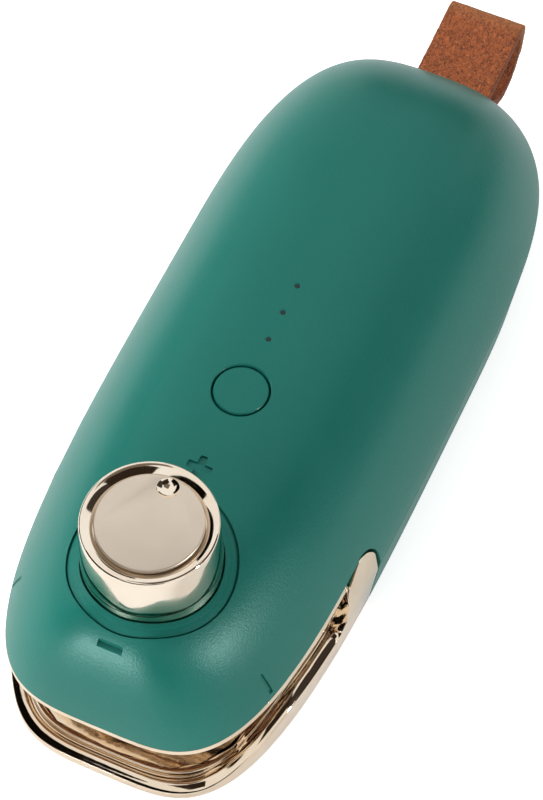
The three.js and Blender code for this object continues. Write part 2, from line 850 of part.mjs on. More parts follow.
function jawCarrier() {
  const low = carrierTopClosed - carrierThickness;
  const plate = both(
    caseForm(jawWall + fitGap, { segments: innerSegments, floor: jawFloor + fitGap }),
    openedSlab(low, carrierTopClosed, farFront, mouthBackY - splitGap, -farX, farX));
  const neck = openedSlab(
    low, carrierTopClosed, mouthBackY - overrun, pivotY, -barrelHalfLength, barrelHalfLength);
  const barrel = rodX(barrelRadius, -barrelHalfLength, barrelHalfLength, pivotY, pivotZ, roundSegments);
  const tail = block(-tailHalfWidth, tailHalfWidth, pivotY, tailEndY, pivotZ - tailThickness, pivotZ);
  let carrier = joined(plate, neck, barrel, tail);
  for (const x of [jawScrewX, -jawScrewX]) {
    const boss = cutBy(
      rodZ(bossRadius, carrierBossLow, carrierTopAt(jawScrewY), x, jawScrewY),
      openedSlab(low + carrierThickness / 2, carrierTopClosed + overrun, farFront, pivotY, -farX, farX));
    carrier = cutBy(
      joined(carrier, boss),
      rodZ(screwRadius + seatGap, farBottom, jawScrewTip + seatGap, x, jawScrewY));
  }
  return cutBy(
    carrier,
    padBlock(fitGap, -padSunk - seatGap, padStand),
    rodX(pinRadius + fitGap, -farX, farX, pivotY, pivotZ));
}

function padBlock(grow, low, high) {
  const half = padWidth / 2 + grow;
  const reach = heaterLength / 2 + grow;
  return openedSlab(
    carrierTopClosed + low, carrierTopClosed + high,
    sealLineY - half, sealLineY + half, -reach, reach);
}

// Mouth trim: the bead under the lip, the plate behind it and the hinge lugs
const lugInner = barrelHalfLength + fitGap;
const lugOuter = lugInner + lugThickness;
const leadHoleX = heaterLength / 2 - 2 * leadRadius;

function mouthTrim() {
  const bead = both(
    cutBy(caseForm(beadInset), caseForm(beadWidth)),
    lipSlab(-beadHeight, -fitGap, farFront, mouthBackY));
  const shelf = both(caseForm(beadWidth / 2), lipSlab(-trimDrop, -fitGap, farFront, mouthBackY));
  const plate = both(
    caseForm(wall + fitGap), lipSlab(-trimDrop, trimPlate - trimDrop, farFront, mouthBackY));
  let trim = joined(bead, shelf, plate);
  const lugFrontY = mouthBackY - overrun;
  for (const side of [1, -1]) {
    const x0 = side > 0 ? lugInner : -lugOuter;
    const lug = prismX([
      ...arc(pivotY, pivotZ, lugRadius, 180, 360),
      [pivotY + lugRadius, lipZ(pivotY) + trimPlate - trimDrop],
      [lugFrontY, lipZ(lugFrontY) + trimPlate - trimDrop],
      [lugFrontY, lipZ(lugFrontY)],
      [pivotY - lugRadius, lipZ(mouthBackY) - trimDrop],
    ], x0, x0 + lugThickness);
    trim = cutBy(
      joined(trim, lug),
      rodZ(leadRadius + fitGap, seamZ, farTop, side * leadHoleX, sealLineY));
  }
  return cutBy(trim, rodX(pinRadius + seatGap, -farX, farX, pivotY, pivotZ));
}

function strip(halfLength, width, high, thickness) {
  return lipSlab(
    high - thickness, high, sealLineY - width / 2, sealLineY + width / 2, -halfLength, halfLength);
}

// Knob, its disc and the dial behind it
const knobRecessZ = knobTopZ - knobBevelDrop - knobDiscThickness;
const knobCeiling = knobRecessZ - knobWall;

function turned(profile) {
  const points = profile.map(([r, z]) => new THREE.Vector2(r, z));
  const geometry = new THREE.LatheGeometry(points, turnedSegments);
  geometry.rotateX(Math.PI / 2);
  geometry.translate(0, knobY, 0);
  return solidOf(geometry);
}

function knobCap() {
  const skirtLow = wellFloorZ + splitGap;
  const body = turned([
    [0, skirtLow],
    [knobBaseRadius, skirtLow],
    [knobBaseRadius, knobGrooveZ - knobGroove],
    [knobBaseRadius - knobGroove, knobGrooveZ],
    [knobBaseRadius, knobGrooveZ + knobGroove],
    [knobTopRadius, knobTopZ - 2 * knobGroove],
    [knobTopRadius - knobGroove / 2, knobTopZ - knobGroove / 2],
    [knobTopRadius - 2 * knobGroove, knobTopZ],
    [knobDiscRadius + fitGap, knobTopZ - knobBevelDrop],
    [knobDiscRadius + fitGap, knobRecessZ],
    [0, knobRecessZ],
  ]);
  const room = rodZ(knobTopRadius - knobWall, farBottom, knobCeiling, 0, knobY, roundSegments);
  const socketLow = wellFloorZ + nutHeight + 2 * splitGap;
  const socket = rodZ(shaftRadius + socketWall, socketLow, knobCeiling + knobWall / 2, 0, knobY);
  const bore = rodZ(shaftRadius + seatGap, farBottom, knobCeiling, 0, knobY);
  return cutBy(joined(cutBy(body, room), socket), bore);
}

function knobDisc() {
  const high = knobTopZ - knobBevelDrop;
  const disc = rodZ(knobDiscRadius, knobRecessZ + seatGap, high, 0, knobY, turnedSegments);
  const ballRadius = (dimpleRadius ** 2 + dimpleDepth ** 2) / (2 * dimpleDepth);
  const ball = new THREE.SphereGeometry(ballRadius, roundSegments, roundSegments);
  ball.translate(0, knobY + dimpleReach, high + ballRadius - dimpleDepth);
  return cutBy(disc, solidOf(ball));
}

const dialTop = wellFloorZ - wellFloor - seatGap;
const dialRoom = dialTop - lipZ(knobY) - trimPlate + trimDrop;
const dialLow = dialTop - dialBodyHeightShare * dialRoom;
const dialMiddleZ = (dialTop + dialLow) / 2;
const bushTop = wellFloorZ + nutHeight + seatGap;

function dialBody() {
  const half = dialBodySize / 2;
  const housing = block(-half, half, knobY - half, knobY + half, dialLow, dialTop);
  const bush = rodZ(bushRadius, dialMiddleZ, bushTop, 0, knobY);
  return cutBy(joined(housing, bush), rodZ(shaftRadius + fitGap, dialMiddleZ, farTop, 0, knobY));
}

const dialShaft = () => rodZ(shaftRadius, dialMiddleZ + seatGap, knobCeiling - seatGap, 0, knobY);

function dialNut() {
  const nut = rodZ(
    nutAcross / Math.sqrt(3), wellFloorZ + seatGap, wellFloorZ + nutHeight, 0, knobY, hexSides);
  return cutBy(nut, rodZ(bushRadius + seatGap, farBottom, farTop, 0, knobY));
}

// Power button with its flange and stem
const flangeTop = caseTopZ - wall - splitGap;
const flangeLow = flangeTop - flangeThickness;
const keyRoom = flangeLow - boardTop;
const keyHeight = keyHeightShare * keyRoom;
const keyTop = boardTop + seatGap + keyHeight + keyPlungerShare * keyRoom;

function powerButton() {
  const top = crownZ(buttonY) - seatGap / 2;
  const cap = rodZ(buttonRadius, flangeLow, top, 0, buttonY, roundSegments);
  const flange = rodZ(flangeRadius, flangeLow, flangeTop, 0, buttonY, roundSegments);
  const stem = rodZ(stemRadius, keyTop + buttonTravel + seatGap, flangeTop, 0, buttonY);
  return joined(cap, flange, stem);
}

function buttonSwitch() {
  const half = keySize / 2;
  const low = boardTop + seatGap;
  return joined(
    block(-half, half, buttonY - half, buttonY + half, low, low + keyHeight),
    rodZ(keyPlungerRadius, low, keyTop, 0, buttonY));
}

function lampLens(y) {
  const under = caseTopZ - wall - fitGap;
  const low = boardTop + lampChipHeight + 2 * seatGap;
  return joined(
    rodZ(lightPipeRadius, low, under, 0, y),
    rodZ(lampRadius, low, crownZ(y) - lampSunk, 0, y));
}

function lampChipSolid(y) {
  const half = lampChip / 2;
  const low = boardTop + seatGap;
  return block(-half, half, y - half, y + half, low, low + lampChipHeight);
}

function jawSwitch() {
  const [width, depth, height] = jawSwitchSize;
  const [plungerWidth, plungerDepth, plungerStand] = jawSwitchPlunger;
  const middle = (boardFrontY + tailEndY) / 2;
  const high = boardZ - seatGap;
  return joined(
    block(-width / 2, width / 2, middle - depth / 2, middle + depth / 2, high - height, high),
    block(
      -plungerWidth / 2, plungerWidth / 2,
      middle - plungerDepth / 2, middle + plungerDepth / 2,
      high - height - plungerStand, high));
}

function usbPort() {
  const y0 = portMouthY - portLength;
  const side = portWidth / 2 - portHeight / 2;
  const shell = cutBy(portSlug(0, y0, portMouthY), portSlug(-portWall, y0 + portBack, farRear));
  const tongue = block(
    -side, side, y0 + portWall, portMouthY - 2 * portWall,
    portMiddleZ - tongueThickness / 2, portMiddleZ + tongueThickness / 2);
  return joined(shell, tongue);
}

function battery() {
  const low = floorTop + seatGap;
  const outline = roundedOutline(batteryHalfWidth, batteryFrontY, batteryRearY, batteryCorner);
  return prismZ(outline, low, low + batteryHeight);
}

function circuitBoard() {
  const outline = roundedOutline(boardHalfWidth, boardFrontY, boardRearY, boardCorner);
  const plain = both(prismZ(outline, boardZ, boardTop), caseForm(wall + seatGap));
  const holes = [postFrontY, postRearY].flatMap((y) => [
    rodZ(postHoleRadius, farBottom, farTop, postX, y),
    rodZ(postHoleRadius, farBottom, farTop, -postX, y),
  ]);
  return cutBy(plain, ...holes);
}

const portBoard = () => prismZ(
  roundedOutline(portBoardHalfWidth, portBoardFrontY, portBoardRearY, boardCorner),
  portBoardLow, portBoardTop);

function screw(x, y, headLow, tip) {
  const head = rodZ(screwHeadRadius, headLow, headLow + screwHeadHeight, x, y);
  const shank = rodZ(screwRadius, headLow + screwCrossDepth, tip, x, y, screwSegments);
  const thin = screwCrossWidth / 2;
  const deep = headLow + screwCrossDepth;
  return cutBy(
    joined(head, shank),
    block(x - screwCrossHalf, x + screwCrossHalf, y - thin, y + thin, farBottom, deep),
    block(x - thin, x + thin, y - screwCrossHalf, y + screwCrossHalf, farBottom, deep));
}

// Jaw springs: one unbroken wound wire each, from the case's floor up to the jaw's tail
const springLow = floorTop + seatGap;
const springTop = pivotZ - tailThickness - seatGap;

class Winding extends THREE.Curve {
  constructor(x, y, low, high) {
    super();
    this.x = x;
    this.y = y;
    this.low = low;
    this.high = high;
  }

  getPoint(share, target = new THREE.Vector3()) {
    const angle = share * springCurls * 2 * Math.PI;
    return target.set(
      this.x + springRadius * Math.cos(angle),
      this.y + springRadius * Math.sin(angle),
      this.low + share * (this.high - this.low));
  }
}

function roundSection(radius, sides) {
  const points = [];
  for (let i = 0; i < sides; i += 1) {
    const angle = (2 * Math.PI * i) / sides;
    points.push(new THREE.Vector2(radius * Math.cos(angle), radius * Math.sin(angle)));
  }
  return new THREE.Shape(points);
}

function springSolid(x) {
  const low = springLow + springWire / 2 + seatGap;
  const high = springTop - springWire / 2 - seatGap;
  return solidOf(new THREE.ExtrudeGeometry(roundSection(springWire / 2, wireSides), {
    steps: springCurls * stepsPerCurl,
    extrudePath: new Winding(x, springY, low, high),
    bevelEnabled: false,
  }));
}

// Leads: round tubes from one piece to the next
function lead(route, radius) {
  return solidOf(new THREE.ExtrudeGeometry(roundSection(radius, leadSides), {
    steps: leadSteps,
    extrudePath: new THREE.CatmullRomCurve3(route.map((point) => new THREE.Vector3(...point))),
    bevelEnabled: false,
  }));
}

const leadRoom = boardHalfWidth - keySize / 2 - 2 * thickLeadRadius - 2 * leadRadius;
const dialLeadX = keySize / 2 + thickLeadRadius + dialLeadShare * leadRoom;
const heaterLeadX = dialLeadX + thickLeadRadius + leadRadius + heaterLeadShare * leadRoom;

function heaterLead(side) {
  const x = side * leadHoleX;
  const top = lipZ(sealLineY) + trimPlate + 2 * leadRadius;
  const boardX = side * heaterLeadX;
  return lead([
    [x, sealLineY, lipZ(sealLineY) + holderTop + seatGap],
    [x, sealLineY, top],
    [x - (side * leadBend) / 2, sealLineY + 2 * leadBend, top + leadBend / 2],
    [boardX, pivotY, boardTop + leadBend + 2 * leadRadius],
    [boardX, boardFrontY, boardTop + leadBend],
    [boardX, boardFrontY + leadBend, boardTop + seatGap + leadRadius],
  ], leadRadius);
}

function dialLead() {
  const y = knobY + dialBodySize / 2 + seatGap;
  const x = dialBodySize / 4;
  return lead([
    [x, y, dialMiddleZ],
    [x, y + leadBend, dialMiddleZ],
    [x + leadBend / 2, pivotY - leadBend, dialMiddleZ - leadBend / 2],
    [dialLeadX, boardFrontY, boardTop + leadBend],
    [dialLeadX, boardFrontY + leadBend, boardTop + 2 * seatGap + thickLeadRadius],
  ], thickLeadRadius);
}

function batteryLead() {
  const z = floorTop + batteryHeight / 2;
  const y = batteryFrontY - seatGap;
  return lead([
    [0, y, z],
    [0, y - leadBend / 2, z],
    [0, y - leadBend, z + leadBend],
    [0, y - leadBend, boardZ - leadBend],
    [0, y - leadBend, boardZ - seatGap],
  ], thickLeadRadius);
}

function portLead() {
  const x = portBoardHalfWidth - 2 * leadRadius;
  const y = portBoardFrontY + 2 * leadRadius;
  return lead([
    [x, y, portBoardTop + seatGap],
    [x, y, boardZ - seatGap],
  ], leadRadius);
}

// Assembly
const bandHalf = (heaterLength + ribbonWidth) / 2;
const pieces = [
  ['top_shell', topShell, greenCase],
  ['bottom_shell', bottomShell, greenCase],
  ['base_pad', basePad, darkRubber],
  ['lower_jaw', lowerJaw, gilt],
  ['jaw_carrier', jawCarrier, gilt],
  ['silicone_pad', () => padBlock(0, -padSunk, padStand), siliconeRubber],
  ['mouth_trim', mouthTrim, gilt],
  ['heater_holder', () => strip(bandHalf, holderWidth, holderTop, holderThickness), blackPlastic],
  ['heating_ribbon', () => strip(heaterLength / 2, ribbonWidth, ribbonTop, ribbonThickness), steel],
  ['heater_tape', () => strip(bandHalf, holderWidth, tapeTop, tapeThickness), blackPlastic],
  ['jaw_pin', () => rodX(pinRadius, -lugOuter, lugOuter, pivotY, pivotZ), steel],
  ['jaw_switch', jawSwitch, blackPlastic],
  ['knob_cap', knobCap, gilt],
  ['knob_disc', knobDisc, satinGilt],
  ['dial_shaft', dialShaft, steel],
  ['dial_body', dialBody, blackPlastic],
  ['dial_nut', dialNut, steel],
  ['power_button', powerButton, greenCase],
  ['button_switch', buttonSwitch, blackPlastic],
  ['circuit_board', circuitBoard, boardGreen],
  ['port_board', portBoard, boardGreen],
  ['usb_c_port', usbPort, steel],
  ['battery', battery, batteryFoil],
  ['strap', strapSolid, tanLeather],
  ['strap_pin', () => strapPin(0), steel],
  ['dial_lead', dialLead, darkRubber],
  ['battery_lead', batteryLead, darkRubber],
  ['port_lead', portLead, darkRubber],
];

lampPlaces.forEach((y, i) => {
  pieces.push([`lamp_lens_${i + 1}`, () => lampLens(y), smokedLens]);
  pieces.push([`lamp_chip_${i + 1}`, () => lampChipSolid(y), lampWhite]);
});
screwPlaces.forEach(([x, y], i) => {
  pieces.push([`case_screw_${i + 1}`, () => screw(x, y, screwHeadLow, screwTip), steel]);
});
for (const [name, side] of [['right', 1], ['left', -1]]) {
  pieces.push(
    [`jaw_screw_${name}`, () => screw(side * jawScrewX, jawScrewY, jawScrewHeadLow, jawScrewTip), steel],
    [`magnet_${name}`, () => rodZ(
      magnetRadius, springLow, springLow + magnetThickness, side * magnetX, magnetY, roundSegments), steel],
    [`jaw_spring_${name}`, () => springSolid(side * springX), steel],
    [`heater_lead_${name}`, () => heaterLead(side), darkRubber]);
}

const group = new THREE.Group();
for (const [name, make, material] of pieces) {
  const mesh = new THREE.Mesh(geometryOf(make()), material());
  mesh.name = name;
  group.add(mesh);
}

export default group;
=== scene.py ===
"""Mini bag sealer: a satin green hand-held case with a spring-open gilt jaw, a dial knob, a power
button, three charge lamps and a suede loop. Lengths are millimetres until a piece is finished."""

import json
import math

import bmesh
import bpy
from mathutils import Matrix, Vector, noise
from mathutils.bvhtree import BVHTree
from mathutils.interpolate import poly_3d_calc


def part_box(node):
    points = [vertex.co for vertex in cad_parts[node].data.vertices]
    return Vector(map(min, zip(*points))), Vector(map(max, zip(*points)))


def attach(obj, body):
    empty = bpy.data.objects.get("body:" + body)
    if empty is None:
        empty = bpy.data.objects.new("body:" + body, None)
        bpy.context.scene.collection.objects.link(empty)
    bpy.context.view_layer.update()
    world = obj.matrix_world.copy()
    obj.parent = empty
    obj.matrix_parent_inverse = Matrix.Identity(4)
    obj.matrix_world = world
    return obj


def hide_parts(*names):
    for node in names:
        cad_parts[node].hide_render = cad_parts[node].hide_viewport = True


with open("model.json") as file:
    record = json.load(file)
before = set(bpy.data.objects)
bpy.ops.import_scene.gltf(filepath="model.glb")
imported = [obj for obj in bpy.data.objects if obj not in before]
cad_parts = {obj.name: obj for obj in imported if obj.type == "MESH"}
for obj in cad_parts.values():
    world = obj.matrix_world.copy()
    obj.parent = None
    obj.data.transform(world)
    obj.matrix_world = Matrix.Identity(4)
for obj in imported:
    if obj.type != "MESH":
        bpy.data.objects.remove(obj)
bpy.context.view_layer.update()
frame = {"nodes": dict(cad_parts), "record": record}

MM = 0.001
FAR = 60

# Case outline and section, as in the part's source
CASE_HALF_WIDTH = 21.5
CASE_FRONT_REACH = 68.3
CASE_REAR_REACH = 39.1
WIDEST_Y = 14.6
CASE_FRONT_Y = WIDEST_Y - CASE_FRONT_REACH
FRONT_SQUARENESS = 3.92
REAR_SQUARENESS = 3.04
SEAM_Z = 12
CASE_TOP_Z = 30.7
TOP_PLAN_SQUARENESS = 3.05
TOP_RISE_SQUARENESS = 1.33
FRONT_TOP_DRAW = 13.2
REAR_TOP_DRAW = 31.2
CASE_LOW = 0.5
SIDE_DRAFT = 0.12
FRONT_DRAFT = 0.02
REAR_DRAFT = 0.2
BOTTOM_ROUND = 1.9
LEAST_ROUND = 0.4
BOTTOM_STEPS = 8
RIDGE_SHARE = 0.03
RIDGE_HALF_WIDTH = 0.4
WALL = 1.6
EDGE_ROUND = 0.09

# Clearances
SEAM_GAP = 0.2
SEAT_GAP = 0.1
FIT_GAP = 0.25
SPLIT_GAP = 0.45

# Mouth and jaw hinge, as they stand open
PIVOT_Y = -20.9
PIVOT_Z = 13.9
HEAD_RADIUS = 3
LIP_FRONT_Z = 15.2
LIP_SLOPE = 0.06
MOUTH_BACK_Y = -25
CLOSING_ANGLE = math.radians(14.5)
SEAL_LINE_Y = -41.3
BEAD_HEIGHT = 0.6
BEAD_INSET = 0.12
BEAD_WIDTH = 1.4
BEAD_ROUND = 0.2
TRIM_PLATE = 1.5
TRIM_DROP = 0.5
LUG_THICKNESS = 3
LUG_RADIUS = 2.9
LUG_FOOT = 5
PIN_RADIUS = 1.25
BARREL_HALF_LENGTH = 11.5

# Jaw: heights of its skin, its inner rim and its tray
SKIN_FRONT_Z = 3.9
SKIN_SIDE_Z = 9.3
RIM_FRONT_Z = 4.8
RIM_REAR_Z = 12.9
HEAD_FRONT_Y = -24.2
HEAD_FRONT_Z = 15.9
HEAD_TOP_SLOPE = 0.55
HEAD_EDGE_LOW_Z = 11
HEAD_EDGE_ROUND = 0.14
TRAY_FRONT_Z = 2.83
TRAY_SLOPE = 0.326

# Shares of the run from the jaw's head to its front, and of the rise between two heights there
SKIN_SIDE_SHARES = [(0, 1), (0.02, 0.76), (0.05, 0.34), (0.085, 0.06), (0.15, 0)]
SKIN_FRONT_SHARES = [
    (0.3, 1), (0.45, 0.98), (0.58, 0.8), (0.7, 0.48), (0.82, 0.14), (0.93, 0.02), (1.3, 0)]
RIM_SHARES = [
    (-0.1, 1), (0.05, 1), (0.14, 0.965), (0.27, 0.86), (0.4, 0.69), (0.53, 0.47), (0.67, 0.21),
    (0.8, 0.03), (1.3, 0)]

# Jaw wall's section: a shoulder and a dome outside, a channel, a narrow rim and a cove inside
JAW_WALL = 2.6
JAW_FLOOR = 1.2
JAW_REAR_WALL = 1.5
JAW_REAR_WALL_TOP = 9.2
JAW_MIDDLE_INSET = 1.3
JAW_SHOULDER = 0.55
SHOULDER_TILTS = (82, 74, 66, 58, 51, 45)
JAW_DOME = 2.14
JAW_EDGE_HEIGHT = 0.984
CHANNEL_DEPTH = 0.25
CHANNEL_OUT = 1.46
CHANNEL_IN = 1.98
JAW_COVE = 0.55
TRAY_LEDGE = 0.25
TRAY_LEDGE_HEIGHT = 0.03
ARM_LEAD = 3
ARM_RUN = 1.8
ARM_NARROWING = 0.86

# Screws and port, each place as (x, y)
CASE_SCREWS = [(13.6, -4.5), (-13.6, -4.5), (13.6, 37.5), (-13.6, 37.5)]
JAW_SCREWS = [(9.5, -32), (-9.5, -32)]
BOSS_RADIUS = 2.4
BOSS_SUNK = 0.4
BOSS_GAP = 0.5
CARRIER_BOSS_LOW = 4.35
SCREW_HOLE_RADIUS = 1.2
SCREW_HEAD_HOLE_RADIUS = 2.15
CASE_SCREW_HOLE_Z = 3.4
JAW_SCREW_HOLE_Z = 2.4
PORT_HALF_HEIGHT = 1.85
PORT_SIDE = 2.87
PORT_MIDDLE_Z = 5.1
PORT_HOLE_Y = 48.6

# Base pad and silicone pad
BASE_PAD_HALF_WIDTH = 10.4
BASE_PAD_FRONT_Y = -12
BASE_PAD_REAR_Y = 40
BASE_PAD_CORNER = 5.2
BASE_PAD_TOP_Z = 1
BASE_PAD_ROUND = 0.18
GRIP_XS = (-6, -3, 0, 3, 6)
GRIP_HALF_WIDTH = 0.5
GRIP_MARGIN = 6
GRIP_DEPTH = 0.3
PAD_HALF_LENGTH = 13
PAD_HALF_WIDTH = 2.8
PAD_HALF_HEIGHT = 1.05
PAD_ROUND = 0.25

# Dial knob and its well
KNOB_Y = -37.1
KNOB_TOP_RADIUS = 8.24
KNOB_BASE_RADIUS = 8.42
KNOB_BASE_ROUND = 0.12
KNOB_TOP_Z = 38.5
KNOB_WALL = 0.9
KNOB_SIDE_ZS = (33, 35, 37, 38.05)
KNOB_GROOVE = 0.2
KNOB_GROOVE_Z = 31.2
KNOB_CREST_RADIUS = 8.14
KNOB_CREST_ROUND = 0.34
BEVEL_INSET = 0.4
BEVEL_DROP = 0.008
BEVEL_STEP = 0.12
BEVEL_TILTS = (18, 22, 25, 27, 29, 30, 31, 32, 33, 34)
KNOB_SEAT_Z = 37.4
DISC_RADIUS = 6.45
DISC_GAP = 0.08
DISC_LOW_Z = 37.5
DISC_FACE_Z = 38.42
DISC_ROUND = 0.24
DIMPLE_RADIUS = 1.35
DIMPLE_REACH = 4.95
DIMPLE_DEPTH = 0.55
DIMPLE_ROUND = 0.06
KNOB_GAP = 0.15
WELL_FLOOR_Z = 28.3
WELL_FLOOR = 1.3
WELL_WALL = 1.1
WELL_SUNK = 0.4
BUSH_RADIUS = 4.2

# The line and the band round the collar. Their tools end in different places inside the line,
# because tools that share a wall leave stray faces
BAND_STEP = 0.06
DISH_RADIUS = 10.2
LINE_RADIUS = 9.95
LINE_DEPTH = 0.55
BAND_DEPTH = 0.3
COLLAR_RADIUS = 9.15
COLLAR_DEPTH = 0.1
COLLAR_ROUND = 0.24
LINE_ROUND = 0.1

# Power button, lamps and marks
BUTTON_Y = -12.3
BUTTON_RADIUS = 3.42
BUTTON_GAP = 0.2
BUTTON_FLARE = 0.22
BUTTON_SUNK = 0.05
BUTTON_EDGE = [(0, -0.3), (0.05, -0.14), (0.17, -0.02), (0.3, 0.06)]
FLANGE_RADIUS = 4.6
FLANGE_LOW_Z = 27.85
FLANGE_TOP_Z = 28.65
STEM_RADIUS = 1.6
STEM_LOW_Z = 24.2
STEM_TOP_Z = 28
LAMP_YS = (-4.25, 0.05, 4.35)
LAMP_HOLE_RADIUS = 0.3
LAMP_FLARE = 0.16
FLARE_SHARES = [(0, -1), (0.3, -0.45), (1, 0), (1.6, 0.3)]
PLUS_Y = -24.1
MINUS_Y = -48.6
MARK_LENGTH = 3.2
MARK_WIDTH = 1
MARK_DEPTH = 0.3
MARK_CORNER = 0.25
TICK_WIDTH = 0.55
TICK_HEIGHT = 3.5
TICK_MIDDLE_Z = 18.4

# Suede loop, its shares taken along its run and of its sag or rise
LOOP_X = 1.1
LOOP_WIDTH = 11
LEATHER = 1.6
LEATHER_ROUND = 0.28
LOOP_PIN_Y = 47.8
LOOP_PIN_Z = 11.9
LOOP_PIN_RADIUS = 1.1
LOOP_END_Y = 67
LOOP_SAG = 4.2
LOOP_RISE = 1.2
LOOP_STATIONS = 260
LOOP_SLOT_INWARDS = 3.6
LOOP_SLOT_HALF_HEIGHT = 2.81
LOOP_LOWER_SHARES = [
    (0.2, 0), (0.3, 0.02), (0.42, 0.3), (0.55, 0.78), (0.68, 1), (0.8, 0.92), (0.91, 0.52),
    (0.98, 0.02)]
LOOP_UPPER_SHARES = [(0.975, 1), (0.85, 0.92), (0.66, 0.62), (0.46, 0.24), (0.3, 0.02), (0.2, 0)]
LOOP_ACROSS_SHARES = [0.88, 0.76, 0.62, 0.48, 0.34, 0.2, 0.07]

# Camera, in millimetres, and its lens in pixels of the photograph
CAMERA_PLACE = Vector((77.649, -174.478, 318.418))
CAMERA_TARGET = Vector((-0.856, -1.524, 12.0))
CAMERA_SENSOR = 36
FOCAL_PIXELS = 2815.4
PICTURE_HEIGHT = 800

# Studio, in metres and watts
LIT_MIDDLE = Vector((0, 0, 0.015))
CARD_MIDDLE = Vector((0, -0.02, 0.015))
WHITE = (1, 1, 1, 1)
FLOOR_SIZE = 6
FLOOR_COLOUR = (0.86, 0.86, 0.86, 1)
FLOOR_CAMERA_GLOW = 0.62
FLOOR_GLOSS_GLOW = 0.16
WORLD_STRENGTH = 0.28

# Each soft box as place, width, height and power; gloss sees only the lamps among them
SOFT_BOXES = {
    "left_box": ((-0.62, 0.05, 0.15), 0.25, 0.8, 7.2),
    "top_box": ((-0.1, 0.25, 0.75), 0.6, 0.6, 1.2),
    "front_box": ((-0.25, -0.5, 0.25), 0.4, 0.3, 1.0),
    "right_box": ((0.6, 0.1, 0.12), 0.25, 0.8, 0.5),
}
LAMPS = {
    "front_lamp": ((-0.125, -0.5, 0.05), 0.07, 0.07, 1.25),
    "right_lamp": ((0.5, -0.05, 0.15), 0.07, 0.07, 1.25),
}

# Each card as azimuth, elevation, distance, width, height and colour
BLACK = (0.004, 0.003, 0.002, 1)
STUDIO_CARDS = {
    "front_edge": (-95, 14, 0.45, 0.9, 0.3, BLACK),
    "right_edge": (20, 3, 0.42, 0.8, 0.14, BLACK),
    "right_wall": (18, 34, 0.45, 0.36, 0.36, (0.05, 0.04, 0.034, 1)),
    "overhead": (0, 84, 0.45, 0.26, 0.26, (0.2, 0.16, 0.13, 1)),
    "front_left_wall": (-132, 38, 0.45, 0.36, 0.28, BLACK),
    "left_edge": (185, 14, 0.42, 0.7, 0.3, BLACK),
    "rear_edge": (92, 10, 0.5, 0.36, 0.15, BLACK),
    "camera_side": (-35, 59, 0.45, 0.36, 0.26, (0.03, 0.02, 0.014, 1)),
}


# Node trees


class Nodes:
    """A node tree with short calls for adding and joining nodes."""

    def __init__(self, tree):
        self.tree = tree

    def feed(self, socket, value):
        """Joins a socket to another node's output, or gives it a plain value."""
        if isinstance(value, bpy.types.NodeSocket):
            self.tree.links.new(value, socket)
        else:
            socket.default_value = value

    def add(self, kind, sockets=None, **settings):
        """A new node, with its settings made before its sockets, by name or number, are fed."""
        node = self.tree.nodes.new(kind)
        for name, value in settings.items():
            setattr(node, name, value)
        for name, value in (sockets or {}).items():
            self.feed(node.inputs[name], value)
        return node

    def maths(self, operation, *values):
        return self.add("ShaderNodeMath", dict(enumerate(values)), operation=operation).outputs[0]

    def times(self, first, second):
        return self.maths("MULTIPLY", first, second)

    def spread(self, value, low, high, to_low, to_high):
        """The value's run from low to high, spread from to_low to to_high and held there."""
        ends = {"From Min": low, "From Max": high, "To Min": to_low, "To Max": to_high}
        return self.add("ShaderNodeMapRange", {"Value": value, **ends}).outputs["Result"]

    def blend(self, share, first, second):
        """The first colour where the share is 0, and the second where it is 1."""
        return self.add("ShaderNodeMix", {0: share, 6: first, 7: second}, data_type="RGBA").outputs[2]


def bare_material(name):
    """A material without nodes other than its output, and that output."""
    material = bpy.data.materials.new(name)
    material.use_nodes = True
    material.node_tree.nodes.clear()
    nodes = Nodes(material.node_tree)
    return material, nodes, nodes.add("ShaderNodeOutputMaterial")


def new_group(name, inputs, outputs):
    """A node group. Its inputs are numbers, or a vector where the value is None."""
    tree = bpy.data.node_groups.new(name, "ShaderNodeTree")
    for socket, value in inputs.items():
        kind = "NodeSocketVector" if value is None else "NodeSocketFloat"
        made = tree.interface.new_socket(socket, in_out="INPUT", socket_type=kind)
        if value is not None:
            made.default_value = value
    for socket in outputs:
        tree.interface.new_socket(socket, in_out="OUTPUT", socket_type="NodeSocketFloat")
    nodes = Nodes(tree)
    return tree, nodes, nodes.add("NodeGroupInput").outputs, nodes.add("NodeGroupOutput").inputs


def make_grain_group():
    """Fine grain: an even speckle from 0 to 1, with a slow drift that breaks it up."""
    tree, nodes, given, made = new_group(
        "fine_grain", {"Place": None, "Size": 0.2, "Drift size": 9.0}, ["Grain", "Drift"])
    for output, size, detail, roughness in (("Grain", "Size", 2.0, 0.6), ("Drift", "Drift size", 3.0, 0.5)):
        scale = nodes.maths("DIVIDE", 1 / MM, given[size])
        texture = nodes.add(
            "ShaderNodeTexNoise",
            {"Vector": given["Place"], "Scale": scale, "Detail": detail, "Roughness": roughness})
        nodes.feed(made[output], nodes.spread(texture.outputs[0], 0.3, 0.7, 0, 1))
    return tree


def make_wipe_group():
    """Handling marks: long soft wipes over a polished surface, as a mask from 0 to 1."""
    tree, nodes, given, made = new_group(
        "wipe_marks", {"Place": None, "Size": 6.0, "Stretch": 3.0}, ["Marks"])
    along = nodes.add("ShaderNodeCombineXYZ", {"X": given["Stretch"], "Y": 1.0, "Z": 1.0})
    stretched = nodes.add(
        "ShaderNodeVectorMath", {0: given["Place"], 1: along.outputs[0]}, operation="MULTIPLY")
    scale = nodes.maths("DIVIDE", 1 / MM, given["Size"])
    wipes = nodes.add(
        "ShaderNodeTexNoise",
        {"Vector": stretched.outputs[0], "Scale": scale, "Detail": 4.0, "Roughness": 0.65,
         "Distortion": 0.8})
    nodes.feed(made["Marks"], nodes.spread(wipes.outputs[0], 0.45, 0.75, 0, 1))
    return tree


